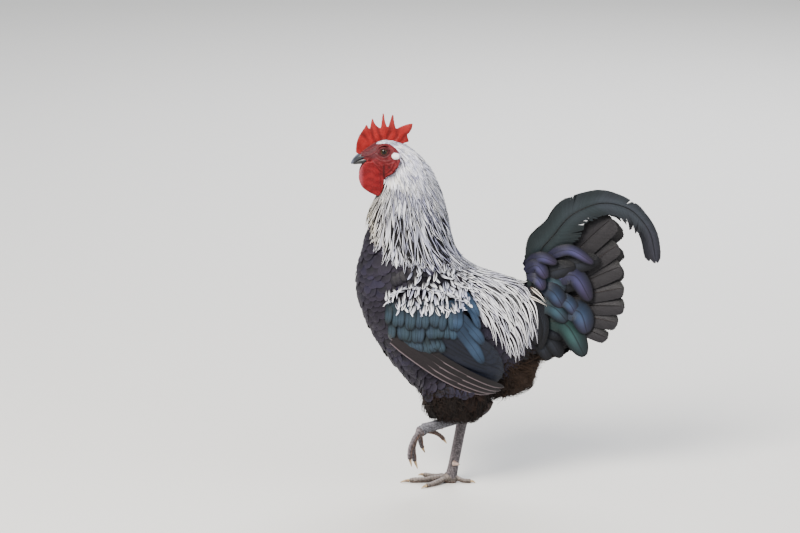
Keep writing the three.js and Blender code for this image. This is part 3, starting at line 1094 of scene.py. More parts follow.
def write_marks(mesh: Mesh, tone: Array, marks: dict[str, Array]) -> None:
    """Writes the colour and other marks at a mesh's corners.

    Args:
        mesh: The mesh.
        tone: Linear colour of each corner.
        marks: Other numbers of each corner, by name.
    """
    layer = mesh.color_attributes.new("tone", "FLOAT_COLOR", "POINT")
    flat = np.concatenate([np.clip(tone, 0, 1), np.ones((len(tone), 1))], axis=1)
    layer.data.foreach_set("color", flat.astype(np.float32).ravel())
    for name, values in marks.items():
        mark = mesh.attributes.new(name, "FLOAT", "POINT")
        mark.data.foreach_set("value", np.ascontiguousarray(values, np.float32))


def place(made: Piece, slot: str, nodes: Sequence[str] = ()) -> Piece:
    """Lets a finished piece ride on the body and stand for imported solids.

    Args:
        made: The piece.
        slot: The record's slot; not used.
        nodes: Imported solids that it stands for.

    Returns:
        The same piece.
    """
    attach(made, "root")
    if nodes:
        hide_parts(*nodes)
    count = sum(len(face.vertices) - 2 for face in made.data.polygons)
    log.info("%s: %d triangles", made.name, count)
    return made


# ---- where each kind of coat grows
@dataclass(frozen=True)
class Regions:
    """Outlines of the coat's parts, in side view."""

    bare_face: Line = ((-160, 560), (-114, 560), (-112, 527), (-101, 529), (-92, 528), (-83, 523),
        (-77, 515), (-76, 504), (-79, 496), (-84, 487), (-96, 479), (-104, 468), (-160, 464))
    hackle: Line = ((-113, 527), (-104, 535), (-92, 545), (-50, 530), (-15, 490), (5, 440), (14, 385),
        (50, 340), (30, 333), (-36, 343), (-60, 350), (-86, 354), (-94, 362), (-101, 382), (-106, 374),
        (-112, 368), (-114, 392), (-118, 412), (-150, 416), (-150, 464), (-104, 468), (-96, 479),
        (-84, 487), (-76, 504), (-77, 515), (-83, 523), (-92, 528), (-101, 529))
    saddle: Line = ((-14, 356), (60, 345), (88, 335), (99, 318), (106, 298), (113, 278), (123, 250),
        (130, 232), (126, 224), (115, 221), (106, 209), (95, 197), (80, 206), (66, 224), (57, 244),
        (28, 298), (8, 322), (-10, 334))
    saddle_roots: Line = ((-14, 360), (60, 350), (94, 344), (101, 322), (107, 302), (109, 284), (92, 266),
        (74, 262), (50, 284), (28, 304), (8, 322), (-12, 334))
    bow: Line = ((-97, 319), (-60, 329), (0, 328), (26, 322), (32, 308), (24, 298), (-30, 294), (-75, 297),
        (-93, 305))
    shoulder: Line = ((-97, 322), (-80, 350), (-40, 358), (10, 352), (28, 330), (26, 316), (-40, 316))
    wing: Line = ((-96, 324), (-94, 262), (-91, 239), (-55, 213), (-9, 182), (33, 163), (62, 157),
        (76, 172), (70, 200), (52, 229), (36, 275), (28, 320), (-40, 330))
    fluff: Line = ((-60, 160), (-20, 175), (60, 175), (90, 225), (120, 235), (135, 205), (170, 190),
        (140, 150), (60, 90), (-50, 90))
    wing_face: float = 40.0  # how far out the wing lies from the middle plane

    def under_wing(self, places: Array) -> Array:
        """Says which places the folded wing hides.

        Args:
            places: Points in millimetres.

        Returns:
            True or False for each place.
        """
        middle = np.array((-5, 240))
        side = (places[:, [0, 2]] - middle) * 1.08 + middle
        return inside(self.wing, side) & (np.abs(places[:, 1]) > self.wing_face)

    def reach(self, outline: Line, places: Array, ways: Array, longest: Array) -> Array:
        """Finds how long a feather may be before its tip leaves an outline.

        Args:
            outline: The outline that holds the tips.
            places: Root points.
            ways: Direction at each root.
            longest: Longest that each may be.

        Returns:
            Length of each.
        """
        way = unit(ways[:, [0, 2]] + 1e-6)
        stops = np.arange(3, 130, 3.0)
        spots = places[:, None, [0, 2]] + way[:, None] * stops[None, :, None]
        within = np.logical_and.accumulate(inside(outline, spots), axis=1)
        return np.minimum(longest, within.sum(1) * 3.0 + 3)


REGIONS = Regions()
LIE = Lie()


@dataclass(frozen=True)
class Markings:
    """The bird's colours by place, given to its skin."""

    # painted shade: the skin under the white hackle and saddle has the grey-lavender of white feathers in
    # shade
    lavender_shade: str = "#b6b3c4"
    breast: str = "#2a2429"
    brown: str = "#2f2320"
    tail: str = "#2b272b"
    bluish: str = "#263240"

    def at(self, places: Array) -> Array:
        """Gives the colour at each place.

        Args:
            places: Points in millimetres.

        Returns:
            One linear colour for each place.
        """
        tone = np.tile(linear(self.breast), (len(places), 1))
        tone[inside(REGIONS.fluff, places)] = linear(self.brown)
        tone[places[:, 0] > 116] = linear(self.tail)
        wing = inside(REGIONS.wing, places) & (np.abs(places[:, 1]) > REGIONS.wing_face)
        tone[wing] = linear(self.bluish)
        tone[inside(REGIONS.hackle, places) | inside(REGIONS.saddle_roots, places)] = linear(self.lavender_shade)
        return tone


MARKINGS = Markings()


# ---- body feathers
SILVER_VANE = VaneKeratin("hackle_feather_keratin_silky", "#070609", stripe=(0.4, 0.58), roughness=0.5,
    barb_spacing=0.75, shade=0.08)
CAPE_VANE = replace(SILVER_VANE, name="cape_feather_keratin_silky", stripe=(0.6, 0.78))
LACED_VANE = VaneKeratin("bow_feather_keratin_laced", "#070609", stripe=(0.3, 0.5), roughness=0.5)
BLACK_VANE = VaneKeratin("body_feather_keratin_matt", "#0a090a", roughness=0.62, specular=0.1)
GLOSS_VANE = VaneKeratin("wing_feather_keratin_glossy", "#07080a", stripe=(0.03, 0.1), roughness=0.46,
    specular=0.13, gloss=0.04)
FLUFF_VANE = VaneKeratin("down_feather_keratin_loose", "#0d0a09", roughness=0.85, specular=0.05, sheen=0.04,
    shade=0.4, course=(0.0, 1.0), barb_spacing=0.9)
STRAND_VANE = VaneKeratin("tail_feather_keratin_barbs", "#0c0b0d", roughness=0.45, specular=0.16, gloss=0.04,
    shade=0.3, course=(0.0, 1.0), barb_spacing=0.9)


@dataclass
class HeadCoat:
    """The short feathers of crown, ear and upper throat."""

    surface: Surface
    crown: Vane = Vane(1.1, Tip.POINTED, root_depth=0.6, tip_lift=1.0, rows=6, columns=3, thickness=0.25)
    bristle: Vane = Vane(0.55, Tip.WISP, root_depth=0.4, tip_lift=1.4, rows=5, columns=3, thickness=0.25,
        stray=0.35)
    spacing: float = 1.6

    def build(self) -> None:
        """Grows the head's small feathers and the dark bristles behind the ear."""
        rng = np.random.default_rng(11)
        coat = Coat("coat_face", self.surface, rng)
        roots = self.surface.scatter(self._part, self.spacing, 12)
        away = np.clip(roots[:, 0] + 100, 0, 60) + np.clip(515 - roots[:, 2], 0, 60)
        batch = coat.grow(self.crown, roots, (8.0 + 0.24 * away) * rng.uniform(0.85, 1.15, len(roots)), 13)
        tone = coat.blotched(("#b3b3c6", "#e6e6ee", "#dedbd8"), roots, 14, 14)
        ear = np.exp(-(((roots[:, 0] + 76) / 2.6) ** 2) - ((roots[:, 2] - 507) / 5.5) ** 2)
        dark = np.clip(ease(0.3, 0.8, ear) + ease(4, 0, np.abs(roots[:, 1])) * 0.4, 0, 1)
        batch.paint(mix(tone, "#2b2931", dark * (rng.random(len(roots)) < 0.7)))
        batch.shade(0.55, "#5a5768")
        batch.stripes[:] = (rng.random((len(roots), 1)) < 0.4) * 0.75
        coat.add(batch)
        roots = self.surface.scatter(
            lambda p: np.hypot((p[:, 0] + 76.5) / 2.4, (p[:, 2] - 507) / 7.5) < 1, 1.7, 15)
        batch = coat.grow(self.bristle, roots, np.full(len(roots), 6.5), 16)
        batch.paint("#141218")
        coat.add(batch)
        coat.make(SILVER_VANE, "hackle_feather")

    def _part(self, points: Array) -> Array:
        """Keeps the feathered head, down to the throat and clear of the comb."""
        x, y, z = points.T
        return (z > 476) & (x < -52) & inside(REGIONS.hackle, points) & ((z < 529) | (np.abs(y) > 2.6))


@dataclass
class Hackle:
    """The cape of narrow silver feathers, each with a black stripe along its shaft."""

    surface: Surface
    vane: Vane = Vane(3.6, Tip.POINTED, root_depth=6, tip_lift=2.8, rows=9, columns=5, camber=0.26,
        thickness=0.35, stray=0.12, roll=0.25, rise=0.7)
    upper_spacing: float = 2.9
    lower_spacing: float = 5.0

    def build(self) -> None:
        """Grows the upper and the lower hackle."""
        for part, low, high, spacing, seed, size in (("upper", 455, 506, self.upper_spacing, 21, 0.62),
                ("lower", 340, 455, self.lower_spacing, 22, 1.0)):
            roots = self.surface.scatter(lambda p, a=low, b=high: (p[:, 2] > a) & (p[:, 2] <= b)
                & inside(REGIONS.hackle, p), spacing, seed)
            rng = np.random.default_rng(seed + 3)
            coat = Coat(f"coat_hackle_{part}", self.surface, rng)
            wanted = np.interp(roots[:, 2], [370, 400, 430, 460, 490, 510], [62, 74, 66, 46, 26, 13])
            lengths = REGIONS.reach(REGIONS.hackle, roots, LIE.at(roots), wanted * 1.12)
            lengths *= rng.uniform(0.82, 1.04, len(roots)) * (1 - 0.09 * ripple(roots, 17, 28))
            keep = lengths > np.where(roots[:, 0] < -100, 8, 15)
            roots, lengths, z = roots[keep], lengths[keep], roots[keep, 2]
            batch = coat.grow(self.vane, roots, lengths, seed + 4)
            batch.widths *= (size * np.interp(lengths, [14, 40, 70], [0.62, 0.92, 1.15]))[:, None]
            tone = coat.blotched(("#9798b2", "#d2d3e3", "#eeeef3", "#bfc1d6"), roots, 26, seed + 5)
            front = ease(-84, -118, roots[:, 0]) * ease(380, 415, z)
            batch.paint(mix(tone, "#ece2c6", front * 0.8))
            batch.shade(np.interp(z, [360, 430, 490], [0.92, 0.85, 0.5]), "#0b0a0e")
            strength = np.interp(z, [380, 440, 470, 505], [1.1, 1.1, 0.95, 0.55]) + rng.uniform(-0.1, 0.1,
                len(roots))
            strength *= np.where(rng.random(len(roots)) < 0.12, 0.35, 1)
            batch.stripes[:] = np.clip(strength[:, None] * (1 - 0.3 * ease(0.93, 1, self.vane.shares())), 0,
                1)
            coat.add(batch)
            coat.make(CAPE_VANE, "hackle_feather")


@dataclass
class Breast:
    """Broad black feathers of the breast, belly and flank, with soft scalloped ends."""

    surface: Surface
    vane: Vane = Vane(9.5, Tip.ROUND, root_depth=6, tip_lift=0.7, rows=8, columns=7, camber=0.12,
        thickness=0.5, stray=0.1, roll=0.07)
    spacing: float = 7.6

    def build(self) -> None:
        """Grows the breast."""
        coat = Coat("coat_breast", self.surface, np.random.default_rng(31))
        roots = self.surface.scatter(self._part, self.spacing, 32)
        lengths = np.interp(roots[:, 2], [110, 200, 340, 400], [26, 30, 30, 26])
        batch = coat.grow(self.vane, roots, lengths * coat.rng.uniform(0.9, 1.15, len(roots)), 33)
        batch.lines -= batch.normals * (3.5 * inside(REGIONS.hackle, roots))[:, None, None]
        batch.paint(coat.blotched(("#1a171f", "#221f28", "#1a191e", "#252232"), roots, 60, 34))
        # painted sheen: the black feathers grow lighter at their tips and edges
        t = self.vane.shares()[None, :, None]
        rim = np.abs(np.linspace(-1, 1, self.vane.columns))[None, None]
        batch.tint("#322d3b", ease(0.75, 1, t) * 0.5 + ease(0.7, 1, rim) * 0.35 * ease(0.3, 0.8, t))
        batch.shade(0.5, "#060506")
        coat.add(batch)
        coat.make(BLACK_VANE, "black_feather")

    def _part(self, points: Array) -> Array:
        """Keeps the breast, belly and flank, down to the fluff and clear of the wing and the cape.

        Args:
            points: Points in millimetres.

        Returns:
            True or False for each point.
        """
        x, _, z = points.T
        bare = inside(REGIONS.bare_face, points) | (z > 425) | inside(REGIONS.hackle, points - (0, 0, 22))
        cape = inside(REGIONS.saddle_roots, points) | ((x > -20) & (z > 330))
        return ~REGIONS.under_wing(points) & ~bare & ~cape & ~inside(REGIONS.fluff, points) & (x < 104)


@dataclass
class Fluff:
    """Loose brown-black down of thigh, vent and under the tail."""

    surface: Surface
    vane: Vane = Vane(1.25, Tip.WISP, root_depth=5, tip_lift=3.6, rows=6, columns=3, camber=0.3,
        thickness=0.3, stray=0.45, roll=0.5, curl=0.8, rise=0.9)
    under: Vane = Vane(8.5, Tip.ROUND, root_depth=6, tip_lift=-1.0, rows=6, columns=5, camber=0.1,
        thickness=0.5, stray=0.15)
    spacing: float = 3.0

    def build(self) -> None:
        """Grows the broad under feathers and the loose strands over them."""
        coat = Coat("coat_fluff", self.surface, np.random.default_rng(41))
        for vane, spacing, long, seed in ((self.under, 8.5, 28, 42), (self.vane, self.spacing, 20, 43)):
            roots = self.surface.scatter(self._part, spacing, seed)
            x, _, z = roots.T
            lengths = long * coat.rng.uniform(0.7, 1.25, len(roots)) * ease(88, 125, z).clip(0.5)
            puff = ease(60, 90, x) * ease(140, 110, x) * ease(215, 190, z)
            batch = coat.grow(vane, roots, lengths * (1 + 0.5 * puff), seed + 10)
            batch.lines += batch.normals * (puff[:, None] * vane.shares() ** 0.7 * 9)[..., None]
            tone = coat.blotched(("#1d1817", "#291f1b", "#1c1a1a", "#251f1c"), roots, 35, 44)
            batch.paint(mix(tone, "#33271f", ease(60, 95, x) * ease(225, 195, z) * 0.8))
            batch.shade(0.6, "#090707")
            coat.add(batch)
        coat.make(FLUFF_VANE, "black_feather")

    def _part(self, points: Array) -> Array:
        """Keeps thigh, vent and the underside of the tail root."""
        return inside(REGIONS.fluff, points) & ~REGIONS.under_wing(points)


@dataclass
class Saddle:
    """Long silver feathers that hang from the back over the wing and rump."""

    surface: Surface
    vane: Vane = Vane(4.1, Tip.POINTED, root_depth=5, tip_lift=3.4, rows=9, columns=5, camber=0.24,
        thickness=0.35, stray=0.1, roll=0.25, rise=0.75)
    rump: Vane = Vane(8, Tip.ROUND, root_depth=5, tip_lift=0.6, rows=7, columns=5, camber=0.1)
    spacing: float = 5.2
    fall: Line = ((62, 240), (66, 232), (74, 226), (81, 219), (87, 211), (94, 203), (126, 228), (120, 238),
        (112, 223), (105, 212), (117, 246), (99, 206), (128, 250), (108, 232))  # tips of the longest
    strays: tuple[Line, ...] = (((113, 300), (126, 294), (142, 283)), ((121, 309), (130, 301), (140, 288)))
    coat: Coat = field(init=False)  # the piece being built

    def build(self) -> None:
        """Grows the saddle with its long fall, then the dark rump under its end."""
        rng = np.random.default_rng(51)
        self.coat = coat = Coat("coat_saddle", self.surface, rng)
        roots = self.surface.scatter(lambda p: inside(REGIONS.saddle_roots, p), self.spacing, 52)
        wanted = np.interp(roots[:, 0], [-10, 30, 70, 110], [46, 52, 70, 72])
        lengths = REGIONS.reach(REGIONS.saddle, roots, LIE.at(roots), wanted) * rng.uniform(0.78, 1.04,
            len(roots))
        roots, lengths = roots[lengths > 14], lengths[lengths > 14]
        batch = coat.grow(self.vane, roots, lengths, 53)
        batch.widths *= np.interp(lengths, [14, 40, 68], [0.6, 0.9, 1.1])[:, None]
        batch.paint(coat.blotched(("#bdbccc", "#e7e7ed", "#f4f4f4"), roots, 30, 54))
        batch.shade(0.55, "#0b0a0e")
        marks = rng.choice([1.0, 0.96, 0.5], (len(roots), 1), p=[0.6, 0.28, 0.12])
        batch.stripes[:] = marks * (1 - 0.3 * ease(0.93, 1, self.vane.shares()))
        coat.add(batch)
        for side in Side:
            self._fall(side)
            self._strays(side)
        coat.make(SILVER_VANE, "hackle_feather")
        self.coat = Coat("coat_rump", self.surface, rng)
        self._rump()
        self.coat.make(GLOSS_VANE, "gloss_feather")

    def _fall(self, side: Side) -> None:
        """Lays the long feathers that hang down at the saddle's end.

        Args:
            side: The side they hang on.
        """
        lines = []
        for k, (x, z) in enumerate(self.fall):
            back = np.interp(x, (60, 105), (1.6, 1.0))
            line = ((x - 15 * back, z + 62 - k), (x - 5 * back, z + 34), (x - back, z + 14), (x, z))
            lines.append(smooth_line(line, self.vane.rows))
        batch = self.coat.drape(side, self.vane, np.stack(lines), 0.3)
        batch.lines += batch.normals * 1.5
        batch.paint(self.coat.blotched(("#cfccd5", "#f0eff0"), batch.lines[:, 0], 12, 59))
        batch.shade(0.4, "#0b0a0e")
        batch.stripes[:] = 1 - 0.3 * ease(0.93, 1, self.vane.shares())
        self.coat.add(batch)

    def _strays(self, side: Side) -> None:
        """Lays two loose white feathers over the tail root.

        Args:
            side: The side they lie on.
        """
        lines = np.stack([smooth_line(line, self.vane.rows) for line in self.strays])
        batch = self.coat.drape(side, self.vane, lines, 0.8)
        batch.lines += batch.normals * 3.5
        batch.widths *= 0.6
        batch.paint("#e0d8cf")
        batch.stripes[:] = 0.9
        batch.shade(0.4, "#3a241d")
        self.coat.add(batch)

    def _rump(self) -> None:
        """Grows the dark feathers over the tail root."""
        roots = self.surface.scatter(lambda p: (p[:, 0] > 96) & ~inside(REGIONS.fluff, p)
            & ~inside(REGIONS.saddle_roots, p), 6.5, 56)
        batch = self.coat.grow(self.rump, roots, 30 * self.coat.rng.uniform(0.8, 1.2, len(roots)), 57)
        batch.paint(self.coat.blotched(("#0b0a0e", "#120f18", "#0b0f13", "#1a0f0b"), roots, 40, 58))
        batch.rim("#050506", 0.6)
        self.coat.add(batch)


@dataclass
class WingCoat:
    """One folded wing: shoulder, silver bow, glossy coverts, and the long quills under them."""

    side: Side
    surface: Surface
    bow: Vane = Vane(1.65, Tip.OVAL, root_depth=-3.0, tip_lift=9.6, rows=9, columns=5, camber=0.3,
        thickness=0.4, stray=0.3, curl=0.6, roll=0.3, blunt=0.3)
    small: Vane = Vane(6.2, Tip.ROUND, root_depth=3, tip_lift=1.4, rows=7, columns=5, camber=0.12)
    covert: Vane = Vane(6.5, Tip.ROUND, root_depth=4.5, tip_lift=1.6, rise=0.6, rows=10, columns=7,
        camber=0.1, thickness=0.5, roll=0.05, blunt=0.7)
    quill: Vane = Vane(12.5, Tip.BLUNT, root_depth=3.0, tip_lift=1.0, rise=0.5, rows=16, columns=11,
        camber=0.05, thickness=0.5, roll=0.015, blunt=0.75)
    # how many, first and last root, first and last tip, and size
    covert_rows: tuple = ((9, (-72, 254), (-24, 250), (-62, 224), (-12, 227), 1.05),
        (11, (-88, 278), (-2, 278), (-87, 240), (2, 248), 1.05),
        (12, (-91, 302), (4, 302), (-91, 264), (4, 262), 1.0))
    webs: tuple = (((0, 276), (26, 243), (47, 208), 10), ((10, 282), (32, 258), (45, 238), 8.5),
        ((14, 300), (28, 280), (38, 259), 8), ((6, 294), (8, 276), (6, 262), 8.5),
        ((16, 312), (28, 295), (38, 276), 7.5))  # root, middle, tip and half width of the broad inner ones
    primaries: tuple[Line, ...] = (((-90, 240), (-52, 213), (-10, 186), (30, 167.5), (60, 158)),
        ((-89, 245), (-48, 219), (-6, 192), (34, 172.5), (67, 159.5)),
        ((-86, 251), (-43, 225.5), (2, 197), (41, 177.5), (74, 163)),
        ((-80, 257), (-36, 231), (10, 203), (48, 183), (79, 168.5)))
    secondary_tips: Line = ((70, 177), (75, 183), (77, 190), (76, 197), (73, 205), (68, 212), (62, 219),
        (55, 225))
    coat: Coat = field(init=False)  # the piece being built

    def build(self) -> None:
        """Builds the wing's pieces."""
        rng = np.random.default_rng(60 + self.side.value)
        for part, parts, finish, slot in (
                ("shoulder", [self._shoulder], GLOSS_VANE, "gloss_feather"),
                ("bow", [self._bow], LACED_VANE, "hackle_feather"),
                ("coverts", [self._covert_rows, self._webs], GLOSS_VANE, "gloss_feather"),
                ("quills", [self._primaries, self._secondaries], GLOSS_VANE, "gloss_feather")):
            self.coat = Coat(f"coat_{part}_{self.side.name.lower()}", self.surface, rng)
            for lay in parts:
                lay()
            self.coat.make(finish, slot)

    def _on_side(self, points: Array, *outlines: Line) -> Array:
        """Keeps the points well out on this wing's side, within any of the outlines."""
        within = np.any([inside(outline, points) for outline in outlines], axis=0)
        return within & (points[:, 1] * self.side.value > 30)

    def _shoulder(self) -> None:
        """Grows the dark shoulder and the ground under the bow."""
        roots = self.surface.scatter(lambda p: self._on_side(p, REGIONS.shoulder, REGIONS.bow), 6.0, 61)
        batch = self.coat.grow(self.small, roots, 20 * self.coat.rng.uniform(0.85, 1.15, len(roots)), 62)
        batch.paint(self.coat.blotched(("#0a080d", "#100c17", "#0b0910", "#171228"), roots, 30, 63))
        batch.rim("#060508", 0.6)
        self.coat.add(batch)

    def _bow(self) -> None:
        """Grows the curled feathers of the bow, black with a white lace, and the few above it."""
        rng = self.coat.rng
        for outline, spacing, share, seed in ((REGIONS.bow, 4.3, 0.96, 64),
                (REGIONS.shoulder, 6.0, 0.75, 65)):
            roots = self.surface.scatter(lambda p, o=outline: self._on_side(p, o), spacing, seed)
            wanted = rng.random(len(roots)) < share
            if outline is REGIONS.shoulder:
                wanted &= (roots[:, 0] > -62) & (ripple(roots, 26, 73) > -0.9)
            roots = roots[wanted]
            lengths = 14 * rng.uniform(0.75, 1.25, len(roots))
            batch = self.coat.grow(self.bow, roots, lengths, seed + 5,
                lambda p: np.broadcast_to(unit(np.array((0.1, 0, -1))), p.shape))
            batch.paint(self.coat.blotched(("#adafc8", "#dcdde6", "#f0f0f3"), roots, 12, 66))
            batch.shade(0.88, "#0b0a0f")
            laced = rng.random((len(roots), 1)) < 0.35
            batch.widths *= np.where(laced, 1.5, 1)
            batch.stripes[:] = laced * (1 - 0.9 * ease(0.86, 0.97, self.bow.shares()))
            self.coat.add(batch)

    def _gleam(self) -> Array:
        """Gives where along a covert the light gathers."""
        return np.exp(-(((self.covert.shares() - 0.66) / 0.2) ** 2))[None, :, None]

    def _covert_rows(self) -> None:
        """Lays three rows of coverts, blue-green in front and bluer behind."""
        rng = self.coat.rng
        t = self.covert.shares()
        for level, (count, *ends, size) in enumerate(self.covert_rows):
            start, end, tip_start, tip_end = np.array(ends)
            share = np.linspace(0, 1, count)[:, None] + rng.normal(0, 0.012, (count, 1))
            root = start + (end - start) * share
            tip = tip_start + (tip_end - tip_start) * share + rng.normal(0, 1.4, (count, 2))
            tip[:, 1] += 3.0 * np.sin(share[:, 0] * 9 + level)
            lines = root[:, None] + (tip - root)[:, None] * t[None, :, None]
            lines[..., 0] += (np.sin(t * math.pi) * 1.5)[None]
            batch = self.coat.drape(self.side, self.covert, lines, 0.05)
            batch.widths *= size
            batch.lines += batch.normals * (4.0 + 0.9 * level)
            tone = self.coat.blotched(("#182126", "#1c272d", "#1d2633", "#1a2325"), batch.lines[:, -1], 40,
                67)
            blue = ease(-25, 15, batch.lines[:, -1, 0])
            batch.paint(mix(tone, "#203145", blue * 0.7) * rng.uniform(0.75, 1.2, (count, 1)))
            batch.tint("#3a4d5c", 0.42 * self._gleam())
            batch.rim("#040709", 0.85, 0.5, 0.92)
            batch.stripes[:] = 0.5
            self.coat.add(batch)

    def _webs(self) -> None:
        """Lays the broad blue inner coverts."""
        lines = np.stack([self.covert.laid(web[:3]) for web in self.webs])
        batch = self.coat.drape(self.side, replace(self.covert, root_depth=3.0, rise=0.3), lines, 0.2)
        batch.widths *= np.array([web[3] for web in self.webs])[:, None] / self.covert.half_width
        batch.lines += batch.normals * 5.2
        batch.paint(self.coat.blotched(("#1a2433", "#1f2e3e", "#1c2334"), batch.lines[:, 0], 15, 68))
        batch.tint("#3b506a", 0.45 * self._gleam())
        batch.rim("#04060b", 0.85, 0.6, 0.93)
        batch.stripes[:] = 0.4
        self.coat.add(batch)

    def _primaries(self) -> None:
        """Lays the long primaries along the wing's lower edge, each with a pale lower rim."""
        shares = self.quill.shares()
        lines = np.stack([self.quill.laid(line) for line in self.primaries])
        batch = self.coat.drape(self.side, self.quill, lines, 0)
        batch.normals[:] = unit(batch.normals.mean(axis=(0, 1)))
        batch.lines += batch.normals * (2.0 + 2.0 * ease(0.1, 0.5, shares))[None, :, None]
        layer = 1.2 * np.arange(len(lines))[:, None] * ease(0.1, 0.5, shares)
        batch.lines[..., 1] = self.side.value * (np.abs(batch.lines[..., 1]).max(0) + layer)
        batch.widths *= 0.42
        batch.paint(self.coat.blotched(("#151214", "#1d181b"), batch.lines[:, 0], 20, 71))
        lower = np.linspace(1, -1, self.quill.columns) * -self.side.value
        batch.tint("#7a6c70", 0.9 * ease(0.66, 0.98, lower)[None, None])
        self.coat.add(batch)

    def _secondaries(self) -> None:
        """Lays the broad secondaries over the primaries."""
        tips, shares = np.array(self.secondary_tips), self.quill.shares()
        roots = np.array((-60, 241)) + np.array((66, 30)) * np.linspace(0, 1, len(tips))[:, None]
        middles = (roots + tips) / 2 + np.array((-1, -3))
        lines = np.stack([self.quill.laid(line) for line in zip(roots, middles, tips)])
        batch = self.coat.drape(self.side, self.quill, lines, 0.28)
        batch.lines += batch.normals * 2.9
        batch.widths *= 0.92
        batch.paint(self.coat.blotched(("#101116", "#141722", "#12141c"), batch.lines[:, 3], 45, 72))
        batch.tint("#1b1f2b", 0.5 * ease(0.35, 0.8, shares)[None, :, None])
        batch.rim("#060709", 0.6, 0.85, 0.97)
        batch.stripes[:] = 0.5
        self.coat.add(batch)


# ---- tail
@dataclass
class LongFeather:
    """A long tail feather: a shaft with barbs on both sides, in clumps that may part at the edge."""

    coat: Coat
    seed: int
    shaft: Array  # points of its line
    face: Spot  # the way its outer face looks
    webs: tuple[Line, Line]  # outline of the upper and the lower web, as share of the length and width
    partings: tuple[Line, Line]  # how far clumps part along each web, as share of the length and amount
    tones: tuple[str, ...]  # colours from the root to the tip
    rachis: str = "#2b2425"  # colour of the shaft
    web_shade: tuple[float, float] = (0.45, 0.45)  # painted shade: how much darker each web grows outward
    slant: float = 0.9  # how far barbs lean forward for each millimetre out
    spacing: float = 1.7

    def __post_init__(self) -> None:
        """Places the barbs' roots along the shaft."""
        self.rng = np.random.default_rng(self.seed)
        run = np.r_[0, np.cumsum(np.linalg.norm(np.diff(self.shaft, axis=0), axis=1))]
        self.stops, self.length = np.arange(2, run[-1] * 0.985, self.spacing), run[-1]
        self.centre = np.stack([np.interp(self.stops, run, c) for c in self.shaft.T], axis=1)
        self.way = unit(np.gradient(self.centre, axis=0))
        face = np.array(self.face, float)
        self.faces = unit(face - self.way * (self.way @ face)[:, None])

    def build(self) -> None:
        """Adds the feather's barbs and shaft to its piece."""
        out = np.cross(self.way, self.faces)
        out *= np.sign(out[len(out) // 3, 2])
        for k, sign in enumerate((1, -1)):
            self._web(k, out * sign)
        self._shaft()

    def _web(self, k: int, out: Array) -> None:
        """Adds the clumps of barbs on one side of the shaft.

        Args:
            k: 0 for the upper web, 1 for the lower.
            out: The way out from the shaft at each barb.
        """
        rng, stops, centre, way, face = self.rng, self.stops, self.centre, self.way, self.faces
        share = stops / self.length
        lean = self.slant + 2.2 * ease(0.82, 1, share)
        grid = np.linspace(0, 45, 181)
        edge = np.interp((stops[:, None] + lean[:, None] * grid) / self.length,
            *np.array(self.webs[k], float).T)
        width = grid[(edge > grid).argmin(1)] + 0.3
        part = np.interp(share, *np.array(self.partings[k], float).T)
        group = np.cumsum(rng.random(len(stops)) < 0.17)
        heart = np.array([stops[group == g].mean() for g in group])
        width *= 1 - part * 0.3 * rng.random(group[-1] + 1)[group] - rng.uniform(0, 0.01, len(stops))
        vane = Vane(self.spacing * 0.85, Tip.OVAL, rows=7, columns=3, camber=0.1, thickness=0.35)
        q = vane.shares()
        ahead = (width * lean)[:, None] * q**1.2 + ((heart - stops) * part)[:, None] * 1.2 * q**2
        lines = centre[:, None] + out[:, None] * (width[:, None] * q)[..., None] + way[:, None] * ahead[...,
            None]
        lines -= face[:, None] * (0.05 * width[:, None] * q**2)[..., None]
        normals = unit(np.broadcast_to(face[:, None] + way[:, None] * 0.14, lines.shape))
        taper = 1.05 - 0.15 * q[None] - part[:, None] * 0.7 * q[None] ** 2
        sizes = vane.half_width * taper * rng.uniform(0.93, 1.06, (len(stops), 1))
        sizes[:, -1] *= 0.9 - 0.5 * part
        table = np.stack([linear(c) for c in self.tones])
        spot = np.linspace(0, 1, len(table))
        tone = np.stack([np.interp(share + 0.1 * ripple(centre, 50, 3), spot, c) for c in table.T], axis=1)
        tone *= rng.uniform(0.9, 1.1, (len(tone), 1))
        # each web is a little darker beside the shaft, and painted shade darkens it towards its outer edge
        fade = (1.15 - 0.35 * ease(0.2, 0, q)) * (1 - self.web_shade[k] * ease(0.15, 0.85, q))
        tones = tone[:, None, None] * fade[None, :, None, None] * np.ones((1, 1, 3, 1))
        self.coat.add(Batch(vane, lines, normals, sizes, tones, np.zeros(lines.shape[:2])))

    def _shaft(self) -> None:
        """Adds the shaft as one narrow ridge."""
        vane = Vane(0.9, Tip.POINTED, rows=40, columns=3, camber=0.9, thickness=1.4)
        pick = (vane.shares() * (len(self.centre) - 1)).round().astype(int)
        line, face = self.centre[pick] + self.faces[pick] * 0.35, self.faces[pick]
        tones = np.broadcast_to(linear(self.rachis) * self.rng.uniform(0.8, 1.2), (1, len(pick), 3, 3)).copy()
        sizes = (vane.half_width * (1.15 - 0.85 * vane.shares()))[None]
        self.coat.add(Batch(vane, line[None], face[None], sizes, tones, np.zeros((1, len(pick)))))


